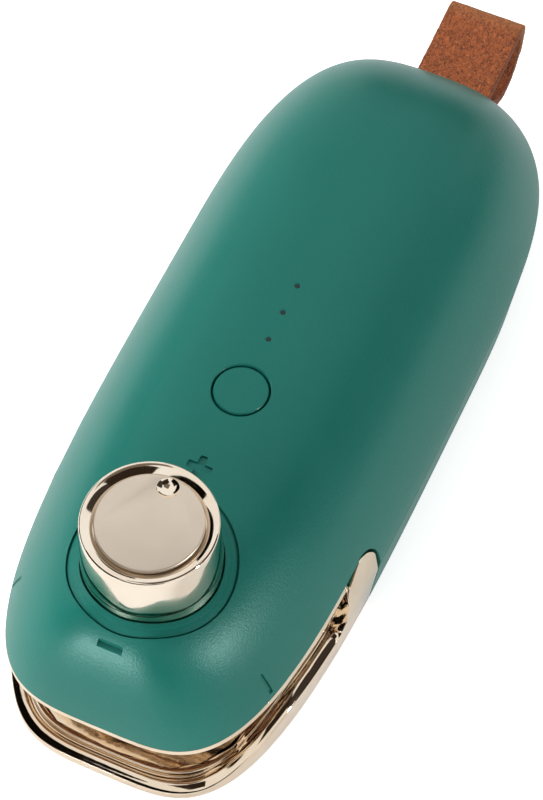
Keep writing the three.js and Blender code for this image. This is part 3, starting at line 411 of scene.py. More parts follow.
GRAIN = make_grain_group()
WIPES = make_wipe_group()


# Finishes


def new_finish(name, sockets=None):
    """A material with its Principled shader, and each point's place on the object."""
    material, nodes, out = bare_material(name)
    skin = nodes.add("ShaderNodeBsdfPrincipled", {"IOR": 1.5, **(sockets or {})})
    nodes.feed(out.inputs["Surface"], skin.outputs[0])
    return material, nodes, skin, nodes.add("ShaderNodeTexCoord").outputs["Object"]


def grain_in(nodes, place, size, drift_size=9.0):
    node = nodes.add(
        "ShaderNodeGroup", {"Place": place, "Size": size, "Drift size": drift_size}, node_tree=GRAIN)
    return node.outputs["Grain"], node.outputs["Drift"]


def dress(nodes, skin, colour, roughness, height, depth, strength=1.0):
    """Feeds a finish its colour, its roughness and a bump that is so many millimetres deep."""
    bump = nodes.add("ShaderNodeBump", {"Height": height, "Distance": depth * MM, "Strength": strength})
    for socket, value in (("Base Color", colour), ("Roughness", roughness), ("Normal", bump.outputs[0])):
        nodes.feed(skin.inputs[socket], value)


def case_green():
    """Satin teal plastic with a spark-eroded grain that glitters a little in the highlights."""
    material, nodes, skin, place = new_finish(
        "case_green", {"Specular IOR Level": 0.38, "Specular Tint": (0.62, 1, 0.93, 1)})
    grain, drift = grain_in(nodes, place, 0.24, 14)
    tone = nodes.maths("ADD", nodes.times(grain, 0.55), nodes.times(drift, 0.45))
    colour = nodes.blend(tone, (0.006, 0.118, 0.093, 1), (0.009, 0.134, 0.107, 1))
    dress(nodes, skin, colour, nodes.spread(tone, 0, 1, 0.3, 0.4), grain, 0.013)
    return material


def polished_gilt(name, warm, pale, ripple):
    """Pale gold plating, mirror bright, with a faint ripple of the moulding under it."""
    material, nodes, skin, place = new_finish(name, {"Metallic": 1.0})
    drift = grain_in(nodes, place, 0.8, 5)[1]
    wipes = nodes.add("ShaderNodeGroup", {"Place": place}, node_tree=WIPES)
    roughness = nodes.spread(wipes.outputs["Marks"], 0, 1, 0.06, 0.12)
    dress(nodes, skin, nodes.blend(drift, warm, pale), roughness, drift, ripple, 0.5)
    return material


def satin_gilt():
    """Blasted and anodised disc: a soft even sheen with a very fine grain."""
    material, nodes, skin, place = new_finish("knob_satin", {"Metallic": 1.0})
    grain, drift = grain_in(nodes, place, 0.12, 6)
    colour = nodes.blend(drift, (0.71, 0.61, 0.5, 1), (0.755, 0.655, 0.545, 1))
    dress(nodes, skin, colour, nodes.spread(grain, 0, 1, 0.36, 0.46), grain, 0.004)
    return material


def tan_leather():
    """Suede: short nap in worm-like clumps, dark pores, burnished edges and a rubbed far end."""
    material, nodes, skin, place = new_finish(
        "tan_leather",
        {"Sheen Weight": 0.08, "Sheen Roughness": 0.5, "Sheen Tint": (0.9, 0.55, 0.35, 1)})
    lean = nodes.add(
        "ShaderNodeMapping", {"Rotation": (0, 0, 0.6), "Scale": (1, 0.55, 1), "Vector": place}).outputs[0]
    nap = nodes.add(
        "ShaderNodeTexNoise",
        {"Vector": lean, "Scale": 2700.0, "Detail": 4.0, "Roughness": 0.62, "Distortion": 1.1})
    pores = nodes.add("ShaderNodeTexVoronoi", {"Vector": lean, "Scale": 2200.0, "Randomness": 1.0})
    grain, drift = grain_in(nodes, place, 0.16, 5)
    fibre = nodes.spread(nap.outputs[0], 0.36, 0.64, 0, 1)
    pits = nodes.spread(pores.outputs["Distance"], 0.05, 0.3, 1, 0)
    pitted = nodes.times(pits, nodes.spread(drift, 0.2, 0.8, 0.5, 1))
    base = nodes.blend(fibre, (0.16, 0.038, 0.015, 1), (0.54, 0.144, 0.046, 1))
    flecked = nodes.blend(nodes.spread(grain, 0.66, 0.95, 0, 0.8), base, (0.74, 0.3, 0.13, 1))
    toned = nodes.blend(nodes.times(pitted, 0.9), flecked, (0.07, 0.018, 0.012, 1))
    split = nodes.add("ShaderNodeSeparateXYZ", {"Vector": place})
    across = nodes.maths("ABSOLUTE", nodes.maths("SUBTRACT", split.outputs["X"], LOOP_X * MM))
    edge = nodes.spread(across, (LOOP_WIDTH / 2 - 0.35) * MM, (LOOP_WIDTH / 2) * MM, 0, 1)
    burnished = nodes.blend(nodes.times(edge, 0.6), toned, (0.045, 0.016, 0.011, 1))
    far_end = nodes.spread(split.outputs["Y"], (LOOP_END_Y - 2.6) * MM, (LOOP_END_Y + 0.3) * MM, 0, 0.4)
    colour = nodes.blend(far_end, burnished, (0.5, 0.25, 0.1, 1))
    height = nodes.maths("SUBTRACT", fibre, nodes.times(pitted, 0.8))
    dress(nodes, skin, colour, nodes.spread(fibre, 0, 1, 0.82, 0.98), height, 0.16)
    return material


def plain_finish(name, dark, light, roughness, metallic=0, grain_size=0.4, depth=0.01):
    """A moulded, rolled or drawn surface: two close tones and a roughness that follow its grain."""
    material, nodes, skin, place = new_finish(name, {"Metallic": metallic})
    grain, drift = grain_in(nodes, place, grain_size)
    tone = nodes.times(nodes.maths("ADD", grain, drift), 0.5)
    colour = nodes.blend(tone, (*dark, 1), (*light, 1))
    dress(nodes, skin, colour, nodes.spread(tone, 0, 1, roughness - 0.06, roughness + 0.06), grain, depth)
    return material


# Each as its darker and lighter tone, roughness, metal, grain size and depth
PLAIN_FINISHES = {
    "base_rubber": ((0.018, 0.019, 0.02), (0.032, 0.034, 0.035), 0.85, 0, 0.35, 0.03),
    "pad_silicone": ((0.22, 0.045, 0.026), (0.28, 0.06, 0.036), 0.7, 0, 0.3),
    "heat_plastic": ((0.018, 0.018, 0.018), (0.034, 0.033, 0.032), 0.6),
    "ribbon_alloy": ((0.42, 0.41, 0.4), (0.56, 0.55, 0.53), 0.35, 1, 0.2),
    "tape_cloth": ((0.2, 0.11, 0.05), (0.32, 0.19, 0.1), 0.75, 0, 0.25, 0.03),
    "bright_steel": ((0.5, 0.51, 0.53), (0.62, 0.63, 0.65), 0.26, 1, 0.3, 0.003),
    "black_plastic": ((0.012, 0.013, 0.014), (0.024, 0.025, 0.027), 0.5),
    "board_green": ((0.008, 0.08, 0.035), (0.016, 0.12, 0.055), 0.4, 0, 0.8),
    "battery_foil": ((0.36, 0.4, 0.44), (0.48, 0.52, 0.56), 0.38, 0.6, 0.9),
    "lamp_plastic": ((0.002, 0.012, 0.012), (0.004, 0.018, 0.017), 0.5, 0, 0.2, 0.002),
    "chip_white": ((0.68, 0.66, 0.58), (0.8, 0.77, 0.68), 0.5),
    "lead_rubber": ((0.014, 0.014, 0.015), (0.03, 0.03, 0.032), 0.55, 0, 0.3),
}
FINISHES = {
    "case_green": case_green(),
    "gilt_plating": polished_gilt("gilt_plating", (0.77, 0.62, 0.46, 1), (0.84, 0.72, 0.57, 1), 0.04),
    "knob_gilt": polished_gilt("knob_gilt", (0.83, 0.71, 0.57, 1), (0.89, 0.8, 0.67, 1), 0.02),
    "knob_satin": satin_gilt(),
    "tan_leather": tan_leather(),
    **{name: plain_finish(name, *look) for name, look in PLAIN_FINISHES.items()},
}


def finish_cad_nodes():
    slots = {part["node"]: part["material_slot"] for part in frame["record"]["subparts"]}
    for name, node in frame["nodes"].items():
        node.data.materials.clear()
        node.data.materials.append(FINISHES[slots[name]])


# Making and joining shapes


def linked(name, data):
    thing = bpy.data.objects.new(name, data)
    bpy.context.collection.objects.link(thing)
    return thing


def mesh_of(bm, name):
    """The shape as a mesh; the shape itself is used up."""
    mesh = bpy.data.meshes.new(name)
    bm.to_mesh(mesh)
    bm.free()
    return mesh


def side_prism(points, half=FAR):
    """A side-view outline of (y, z) points drawn out along X."""
    bm = bmesh.new()
    face = bm.faces.new([bm.verts.new((-half, y, z)) for y, z in points])
    grown = bmesh.ops.extrude_face_region(bm, geom=[face])["geom"]
    moved = [item for item in grown if isinstance(item, bmesh.types.BMVert)]
    bmesh.ops.translate(bm, vec=(2 * half, 0, 0), verts=moved)
    bmesh.ops.recalc_face_normals(bm, faces=bm.faces)
    return bm


def rod(radius, z0, z1, x=0.0, y=KNOB_Y, segments=64):
    """An upright rod, round the knob's axis where no other place is given."""
    bm = bmesh.new()
    bmesh.ops.create_cone(
        bm, cap_ends=True, segments=segments, radius1=radius, radius2=radius, depth=z1 - z0,
        matrix=Matrix.Translation((x, y, (z0 + z1) / 2)))
    return bm


def pin_hole():
    """A tool for the hinge pin's hole, right across the case."""
    bm = bmesh.new()
    radius = PIN_RADIUS + SEAT_GAP
    bmesh.ops.create_cone(
        bm, cap_ends=True, segments=64, radius1=radius, radius2=radius, depth=2 * FAR,
        matrix=Matrix.Translation((0, PIVOT_Y, PIVOT_Z)) @ Matrix.Rotation(math.pi / 2, 4, "Y"))
    return bm


def turned(profile, y=KNOB_Y, segments=160):
    """A closed (radius, z) outline turned about an upright axis on the middle line."""
    bm = bmesh.new()
    verts = [bm.verts.new((radius, y, z)) for radius, z in profile]
    edges = [bm.edges.new(pair) for pair in zip(verts, verts[1:] + verts[:1])]
    bmesh.ops.spin(
        bm, geom=verts + edges, cent=(0, y, 0), axis=(0, 0, 1), angle=2 * math.pi,
        steps=segments, use_merge=True, use_duplicate=False)
    bmesh.ops.remove_doubles(bm, verts=bm.verts, dist=0.0005)
    bmesh.ops.dissolve_degenerate(bm, dist=0.0005, edges=bm.edges)
    loose = [edge for edge in bm.edges if not edge.link_faces]
    bmesh.ops.delete(bm, geom=loose, context="EDGES")
    bmesh.ops.recalc_face_normals(bm, faces=bm.faces)
    return bm


def block(x0, x1, y0, y1, z0, z1):
    bm = bmesh.new()
    bmesh.ops.create_cube(bm, size=1)
    bmesh.ops.scale(bm, vec=(x1 - x0, y1 - y0, z1 - z0), verts=bm.verts)
    bmesh.ops.translate(bm, vec=((x0 + x1) / 2, (y0 + y1) / 2, (z0 + z1) / 2), verts=bm.verts)
    return bm


def bevelled(bm, edges, width, segments):
    bmesh.ops.bevel(
        bm, geom=edges, offset=width, segments=segments, profile=0.5, affect="EDGES", material=-1,
        clamp_overlap=True)
    return bm


def rounded_block(x0, x1, y0, y1, z0, z1, corner, steps):
    """A block whose four upright edges are rounded."""
    bm = block(x0, x1, y0, y1, z0, z1)
    upright = [edge for edge in bm.edges if abs(edge.verts[0].co.z - edge.verts[1].co.z) > (z1 - z0) / 2]
    return bevelled(bm, upright, corner, steps)


def soften(bm, width, angle=32, segments=2, where=None):
    """Rounds the shape's sharp edges a little, or those of them that the test picks."""
    limit = math.radians(angle)
    sharp = [
        edge for edge in bm.edges
        if edge.is_manifold and edge.calc_face_angle(0) > limit and (where is None or where(edge))]
    return bevelled(bm, sharp, width, segments)


def together(*parts):
    """Several shapes that don't touch each other, as one."""
    whole = parts[0]
    for part in parts[1:]:
        mesh = mesh_of(part, "part")
        whole.from_mesh(mesh)
        bpy.data.meshes.remove(mesh)
    return whole


def worked(bm, *steps):
    """The shape after Boolean steps, each an operation and the shape it works with."""
    work = linked("work", mesh_of(bm, "work"))
    for operation, other in steps:
        tool = linked("tool", mesh_of(other, "tool"))
        joint = work.modifiers.new("joint", "BOOLEAN")
        joint.operation = operation
        joint.solver = "EXACT"
        joint.object = tool
        bpy.context.view_layer.update()
        shaped = bpy.data.meshes.new_from_object(work.evaluated_get(bpy.context.evaluated_depsgraph_get()))
        work.modifiers.clear()
        spent = (work.data, tool.data)
        work.data = shaped
        bpy.data.objects.remove(tool)
        for mesh in spent:
            bpy.data.meshes.remove(mesh)
    result = bmesh.new()
    result.from_mesh(work.data)
    shaped = work.data
    bpy.data.objects.remove(work)
    bpy.data.meshes.remove(shaped)
    bmesh.ops.remove_doubles(result, verts=result.verts, dist=0.002)
    bmesh.ops.dissolve_degenerate(result, dist=0.001, edges=result.edges)
    return result


def shade_like(obj, forms):
    """Faces that lie on one of the smooth forms take that form's own normals."""
    trees = []
    for form in forms:
        form.normal_update()
        form.faces.ensure_lookup_table()
        trees.append((BVHTree.FromBMesh(form), form))
    mesh = obj.data
    normals = [tuple(corner.vector) for corner in mesh.corner_normals]
    for face in mesh.polygons:
        for tree, form in trees:
            hit, facing, _, distance = tree.find_nearest(face.center)
            if hit is None or distance > 0.03 or abs(facing.dot(face.normal)) < 0.97:
                continue
            side = 1 if facing.dot(face.normal) > 0 else -1
            for corner in face.loop_indices:
                point = mesh.vertices[mesh.loops[corner].vertex_index].co
                hit, _, index, _ = tree.find_nearest(point)
                verts = form.faces[index].verts
                smooth = Vector()
                for share, vert in zip(poly_3d_calc([vert.co for vert in verts], hit), verts):
                    smooth += vert.normal * share
                if smooth.length > 0.5:
                    normals[corner] = tuple(smooth.normalized() * side)
            break
    mesh.normals_split_custom_set(normals)
    for _, form in trees:
        form.free()


def finish_piece(bm, name, body, slot, node, sharp=35, forms=()):
    """Turns a shape in millimetres into a finished piece of the object, in place of its CAD node."""
    mesh = mesh_of(bm, name)
    piece = linked(name, mesh)
    mesh.shade_smooth()
    mesh.set_sharp_from_angle(angle=math.radians(sharp))
    if forms:
        shade_like(piece, forms)
    mesh.transform(Matrix.Scale(MM, 4))
    mesh.materials.append(FINISHES[slot])
    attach(piece, body)
    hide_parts(node)
    return piece


def arc(y, z, radius, start, end, steps=24):
    """Points of an arc about (y, z), between two angles in degrees."""
    angles = [math.radians(start + (end - start) * i / steps) for i in range(steps + 1)]
    return [(y + radius * math.cos(angle), z + radius * math.sin(angle)) for angle in angles]


def cubic(p1, p2, v1, v2, t):
    """The point at t of a curve from p1 to p2 that starts at speed v1 and ends at v2."""
    bend = -3 * p1 + 3 * p2 - 2 * v1 - v2
    return (2 * p1 - 2 * p2 + v1 + v2) * t ** 3 + bend * t ** 2 + v1 * t + p1


def smooth_line(points, steps=90):
    """A smooth line through 2-D points, as the source's spline draws it."""
    line = []
    for i in range(steps + 1):
        at = (len(points) - 1) * i / steps
        k = min(int(at), len(points) - 2)
        p1, p2 = Vector(points[k]), Vector(points[k + 1])
        p0 = Vector(points[k - 1]) if k else p1
        p3 = Vector(points[k + 2]) if k + 2 < len(points) else p2
        line.append(tuple(cubic(p1, p2, (p2 - p0) * 0.5, (p3 - p1) * 0.5, at - k)))
    return line


def drawn_on(bm, edges):
    """Draws a rim on by one more ring, and gives that ring's vertices and edges."""
    lifted = bmesh.ops.extrude_edge_only(bm, edges=edges)["geom"]
    ring = [item for item in lifted if isinstance(item, bmesh.types.BMVert)]
    inside = set(ring)
    rim = [item for item in lifted if isinstance(item, bmesh.types.BMEdge) and inside.issuperset(item.verts)]
    return ring, rim


def ringed_form(segments, rings, place):
    """A closed form drawn up ring by ring, where place gives the point at a turn and a ring."""
    bm = bmesh.new()
    turn = bm.verts.layers.float.new("turn")
    ring = bmesh.ops.create_circle(bm, cap_ends=True, segments=segments, radius=1)["verts"]
    for vert in ring:
        vert[turn] = math.atan2(vert.co.y, vert.co.x)
    edges = bm.edges[:]
    for number in range(rings):
        if number:
            ring, edges = drawn_on(bm, edges)
        for vert in ring:
            vert.co = place(vert[turn], number)
    bmesh.ops.holes_fill(bm, edges=edges, sides=0)
    bmesh.ops.recalc_face_normals(bm, faces=bm.faces)
    return bm


# The case's form


def height_share(plan_share):
    """Share of the crown's height where it has this share of its width."""
    return (1 - plan_share ** TOP_PLAN_SQUARENESS) ** (1 / TOP_RISE_SQUARENESS)


def crown_z(y):
    """Height of the case's top over the middle line."""
    share = min(max((CASE_FRONT_Y + FRONT_TOP_DRAW - y) / FRONT_TOP_DRAW, 0), 1)
    return SEAM_Z + (CASE_TOP_Z - SEAM_Z) * height_share(share)


def lip_z(y):
    return LIP_FRONT_Z + LIP_SLOPE * (y - CASE_FRONT_Y)


def outline_point(turn, half_width, front, rear):
    """The (x, y) point at a turn of the outline with these reaches."""
    c, s = math.cos(turn), math.sin(turn)
    power = 2 / (FRONT_SQUARENESS if s < 0 else REAR_SQUARENESS)
    reach = front if s < 0 else rear
    return (
        half_width * math.copysign(abs(c) ** power, c),
        WIDEST_Y + reach * math.copysign(abs(s) ** power, s))


def crown_reaches(share, inset):
    """The outline's half width, front and rear reach where the crown has this share of its width."""
    return (
        CASE_HALF_WIDTH * share - inset,
        CASE_FRONT_REACH - FRONT_TOP_DRAW * (1 - share) - inset,
        CASE_REAR_REACH - REAR_TOP_DRAW * (1 - share) - inset)


def side_reaches(z, inset):
    """The outline's reaches at a height below the seam, where the walls lean in by their draft."""
    rise = SEAM_Z - z
    return (
        CASE_HALF_WIDTH - inset - SIDE_DRAFT * rise,
        CASE_FRONT_REACH - inset - FRONT_DRAFT * rise,
        CASE_REAR_REACH - inset - REAR_DRAFT * rise)


def case_reaches(z, inset):
    """The reaches of the case's outer form at a height, drawn in by an inset."""
    if z >= SEAM_Z:
        rise = min((z - SEAM_Z) / (CASE_TOP_Z - SEAM_Z), 0.999)
        return crown_reaches((1 - rise ** TOP_RISE_SQUARENESS) ** (1 / TOP_PLAN_SQUARENESS), inset)
    turned_in = min(max(1 - (z - CASE_LOW) / BOTTOM_ROUND, 0), 1)
    return side_reaches(z, inset + BOTTOM_ROUND * (1 - math.sqrt(1 - turned_in ** 2)))


def case_form(inset=0.0, segments=288, crown_steps=56, lowered=0.0):
    """The case's closed form, drawn in by an inset, or its crown lowered."""
    levels = []
    radius = max(BOTTOM_ROUND - inset, LEAST_ROUND)
    for i in range(BOTTOM_STEPS + 1):
        angle = (1 - i / BOTTOM_STEPS) * math.pi / 2
        z = CASE_LOW + inset + radius * (1 - math.sin(angle))
        levels.append((z, side_reaches(z, inset + radius * (1 - math.cos(angle)))))
    ridge = max(RIDGE_SHARE, (inset + RIDGE_HALF_WIDTH) / CASE_HALF_WIDTH)
    for i in range(crown_steps + 1):
        share = max(math.cos(math.pi / 2 * i / crown_steps) ** (2 / TOP_PLAN_SQUARENESS), ridge)
        z = SEAM_Z + (CASE_TOP_Z - inset - SEAM_Z) * height_share(share) - lowered
        levels.append((z, crown_reaches(share, inset)))
        if share == ridge:
            break

    def place(turn, number):
        z, reaches = levels[number]
        return (*outline_point(turn, *reaches), z)

    return ringed_form(segments, len(levels), place)


def plain_case_form(inset, segments=128, crown_steps=24):
    """The case's form with fewer faces, for walls and tools that no one sees."""
    return case_form(inset, segments, crown_steps)


def cross_wall(inset, y0, y1):
    """An upright wall across the case, as high as the jaw's rear wall."""
    outline = [(y0, -FAR), (y1, -FAR), (y1, JAW_REAR_WALL_TOP), (y0, JAW_REAR_WALL_TOP)]
    return worked(plain_case_form(inset), ("INTERSECT", side_prism(outline)))


def lip_slab(low, high, y0, y1):
    """What lies between two heights over the lip's slope, from y0 to y1."""
    return side_prism([(y, lip_z(y) + off) for y, off in ((y0, low), (y1, low), (y1, high), (y0, high))])


# Case pieces


def knob_band(radius, depth, inner_radius=None):
    """A tool that sinks the case's top round the knob by a depth."""
    steps = [("DIFFERENCE", case_form(lowered=depth))]
    if inner_radius:
        steps.append(("DIFFERENCE", rod(inner_radius, SEAM_Z, 2 * FAR, segments=160)))
    return worked(rod(radius, SEAM_Z, FAR, segments=160), *steps)


def near_knob_ring(radius):
    """A test for edges that lie on a ring round the knob's axis."""
    def test(edge):
        return all(abs(math.hypot(vert.co.x, vert.co.y - KNOB_Y) - radius) < 0.03 for vert in edge.verts)
    return test


def flared_hole(radius, flare, y, segments):
    """A tool for a round hole in the case's top whose rim opens out a little."""
    rim = [(radius + flare * out, CASE_TOP_Z + flare * up) for out, up in FLARE_SHARES]
    return turned([(0, SEAM_Z), (radius, SEAM_Z), *rim, (rim[-1][0], FAR), (0, FAR)], y, segments)


def mark_bar(y, half_x, half_y):
    """A tool that sinks one bar of a mark into the case's top."""
    low = crown_z(y) - MARK_DEPTH
    return rounded_block(-half_x, half_x, y - half_y, y + half_y, low, FAR, MARK_CORNER, 4)


def loop_slot():
    """A tool for the slot in the rear wall that the loop comes out of."""
    half = LOOP_WIDTH / 2 + 2 * FIT_GAP
    return block(
        LOOP_X - half, LOOP_X + half, LOOP_PIN_Y - LOOP_SLOT_INWARDS, FAR,
        LOOP_PIN_Z - LOOP_SLOT_HALF_HEIGHT, LOOP_PIN_Z + LOOP_SLOT_HALF_HEIGHT)


def screw_rods(places, radius, z0, z1, segments=48):
    return together(*[rod(radius, z0, z1, x, y, segments) for x, y in places])


def make_case_top():
    seam = SEAM_Z + SEAM_GAP / 2
    radius = HEAD_RADIUS + SPLIT_GAP
    under = side_prism([
        (-2 * FAR, -FAR), (2 * FAR, -FAR), (2 * FAR, seam), (PIVOT_Y + radius, seam),
        *arc(PIVOT_Y, PIVOT_Z, radius, 0, 90),
        (PIVOT_Y, lip_z(PIVOT_Y)), (-2 * FAR, lip_z(-2 * FAR))])
    well = KNOB_BASE_RADIUS + KNOB_GAP
    shell = worked(
        case_form(),
        ("DIFFERENCE", plain_case_form(WALL, crown_steps=32)),
        ("DIFFERENCE", under),
        ("UNION", rod(well + WELL_WALL, WELL_FLOOR_Z - WELL_FLOOR, WELL_FLOOR_Z + WELL_SUNK, segments=96)),
        ("DIFFERENCE", knob_band(DISH_RADIUS - 2 * BAND_STEP, COLLAR_DEPTH)),
        ("DIFFERENCE", knob_band(DISH_RADIUS, LINE_DEPTH, LINE_RADIUS)),
        ("DIFFERENCE", knob_band((LINE_RADIUS + DISH_RADIUS) / 2 - BAND_STEP, BAND_DEPTH, COLLAR_RADIUS)))
    soften(shell, COLLAR_ROUND, segments=4, where=near_knob_ring(COLLAR_RADIUS))
    soften(shell, LINE_ROUND, segments=3, where=near_knob_ring(LINE_RADIUS))
    holes = together(
        rod(well, WELL_FLOOR_Z, FAR, segments=144),
        flared_hole(BUTTON_RADIUS + BUTTON_GAP, BUTTON_FLARE, BUTTON_Y, 144),
        *[flared_hole(LAMP_HOLE_RADIUS, LAMP_FLARE, y, 40) for y in LAMP_YS],
        loop_slot())
    thin, long = MARK_WIDTH / 2, MARK_LENGTH / 2
    plus = worked(mark_bar(PLUS_Y, long, thin), ("UNION", mark_bar(PLUS_Y, thin, long)))
    minus = mark_bar(MINUS_Y, long, thin)
    ticks = worked(
        block(
            -FAR, FAR, SEAL_LINE_Y - TICK_WIDTH / 2, SEAL_LINE_Y + TICK_WIDTH / 2,
            TICK_MIDDLE_Z - TICK_HEIGHT / 2, TICK_MIDDLE_Z + TICK_HEIGHT / 2),
        ("DIFFERENCE", plain_case_form(MARK_DEPTH, 160, 40)))
    shell = worked(
        shell,
        ("DIFFERENCE", holes),
        ("DIFFERENCE", rod(BUSH_RADIUS + SEAT_GAP, SEAM_Z, FAR)),
        ("DIFFERENCE", together(plus, minus)),
        ("DIFFERENCE", ticks))
    soften(shell, EDGE_ROUND)
    finish_piece(
        shell, "case_top", "case", "case_green", "top_shell",
        forms=(case_form(), case_form(lowered=COLLAR_DEPTH), case_form(lowered=BAND_DEPTH)))


def base_pad_block(gap, low, high, steps):
    """The base pad's outline with a gap round it, between two heights."""
    return rounded_block(
        -BASE_PAD_HALF_WIDTH - gap, BASE_PAD_HALF_WIDTH + gap, BASE_PAD_FRONT_Y - gap, BASE_PAD_REAR_Y + gap,
        low, high, BASE_PAD_CORNER + gap, steps)


def port_hole():
    """A tool for the port's mouth, drawn upright and then laid towards the rear."""
    side = PORT_SIDE + PORT_HALF_HEIGHT
    port = rounded_block(
        -side, side, -PORT_HALF_HEIGHT, PORT_HALF_HEIGHT, PORT_HOLE_Y, FAR, PORT_HALF_HEIGHT * 0.99, 12)
    lay = Matrix.Rotation(math.pi, 4, "Z") @ Matrix.Rotation(math.pi / 2, 4, "X")
    bmesh.ops.transform(port, matrix=Matrix.Translation((0, 0, PORT_MIDDLE_Z)) @ lay, verts=port.verts)
    return port


def make_case_bottom():
    seam = SEAM_Z - SEAM_GAP / 2
    split = PIVOT_Y + HEAD_RADIUS + SPLIT_GAP
    shell = worked(
        case_form(),
        ("DIFFERENCE", plain_case_form(WALL)),
        ("INTERSECT", side_prism([(split, -FAR), (2 * FAR, -FAR), (2 * FAR, seam), (split, seam)])),
        ("UNION", cross_wall(0.05, split + 0.01, split + WALL)),
        ("UNION", screw_rods(CASE_SCREWS, BOSS_RADIUS, CASE_LOW + BOSS_SUNK, seam - BOSS_GAP)),
        ("DIFFERENCE", loop_slot()),
        ("DIFFERENCE", port_hole()),
        ("DIFFERENCE", base_pad_block(FIT_GAP, -FAR, BASE_PAD_TOP_Z + SEAT_GAP, 12)),
        ("DIFFERENCE", screw_rods(CASE_SCREWS, SCREW_HEAD_HOLE_RADIUS, -FAR, CASE_SCREW_HOLE_Z)),
        ("DIFFERENCE", screw_rods(CASE_SCREWS, SCREW_HOLE_RADIUS, -FAR, FAR, 32)))
    soften(shell, EDGE_ROUND)
    finish_piece(shell, "case_bottom", "case", "case_green", "bottom_shell", forms=(case_form(),))


def make_base_pad():
    """Rubber foot with rounded edges and shallow grip channels along it."""
    channels = together(*[
        rounded_block(
            x - GRIP_HALF_WIDTH, x + GRIP_HALF_WIDTH, BASE_PAD_FRONT_Y + GRIP_MARGIN,
            BASE_PAD_REAR_Y - GRIP_MARGIN, -1, GRIP_DEPTH, GRIP_HALF_WIDTH * 0.9, 6)
        for x in GRIP_XS])
    pad = worked(base_pad_block(0, 0, BASE_PAD_TOP_Z, 14), ("DIFFERENCE", channels))
    soften(pad, BASE_PAD_ROUND, angle=50)
    finish_piece(pad, "base_foot", "case", "base_rubber", "base_pad")


def make_mouth_bead():
    """The bright line under the lip, its plate and the hinge lugs."""
    bead = worked(
        case_form(BEAD_INSET),
        ("DIFFERENCE", case_form(BEAD_WIDTH, 192, 40)),
        ("INTERSECT", lip_slab(-FIT_GAP - BEAD_HEIGHT, -FIT_GAP, -FAR, MOUTH_BACK_Y)))
    soften(bead, BEAD_ROUND, angle=40, segments=3)
    shelf = worked(
        plain_case_form(BEAD_WIDTH / 2, 160, 32),
        ("INTERSECT", lip_slab(-TRIM_DROP, -FIT_GAP - 0.05, -FAR, MOUTH_BACK_Y - 0.05)))
    plate = worked(
        plain_case_form(WALL + FIT_GAP, 160, 32),
        ("INTERSECT", lip_slab(-TRIM_DROP + 0.02, TRIM_PLATE - TRIM_DROP, -FAR, MOUTH_BACK_Y)))
    foot_y = MOUTH_BACK_Y - LUG_FOOT
    lug_outline = [
        *arc(PIVOT_Y, PIVOT_Z, LUG_RADIUS, 180, 360),
        (PIVOT_Y + LUG_RADIUS, lip_z(PIVOT_Y) + TRIM_PLATE - TRIM_DROP),
        (foot_y, lip_z(foot_y) + TRIM_PLATE - TRIM_DROP),
        (foot_y, lip_z(foot_y)),
        (PIVOT_Y - LUG_RADIUS, lip_z(MOUTH_BACK_Y) - TRIM_DROP)]
    lugs = [side_prism(lug_outline, LUG_THICKNESS / 2) for _ in range(2)]
    for side, lug in zip((1, -1), lugs):
        middle_x = side * (BARREL_HALF_LENGTH + FIT_GAP + LUG_THICKNESS / 2)
        bmesh.ops.translate(lug, vec=(middle_x, 0, 0), verts=lug.verts)
    trim = worked(
        plate,
        ("UNION", shelf),
        ("UNION", together(*lugs)),
        ("DIFFERENCE", pin_hole()),
        ("UNION", bead))
    finish_piece(
        trim, "mouth_bead", "case", "gilt_plating", "mouth_trim", sharp=40, forms=(case_form(BEAD_INSET),))


# Jaw pieces


def height_on(line, y):
    """Height at y of a line of (y, z) points that runs from the rear to the front."""
    if y >= line[0][0]:
        return line[0][1] + HEAD_TOP_SLOPE * (y - line[0][0])
    for (y0, z0), (y1, z1) in zip(line, line[1:]):
        if y1 <= y:
            return z1 + (z0 - z1) * (y - y1) / (y0 - y1)
    return line[-1][1]


def jaw_line_points(shares, low, high):
    """Side-view points of the jaw, from shares of its run and of its rise between two heights."""
    run = HEAD_FRONT_Y - CASE_FRONT_Y
    return [(HEAD_FRONT_Y - run * along, low + rise * (high - low)) for along, rise in shares]


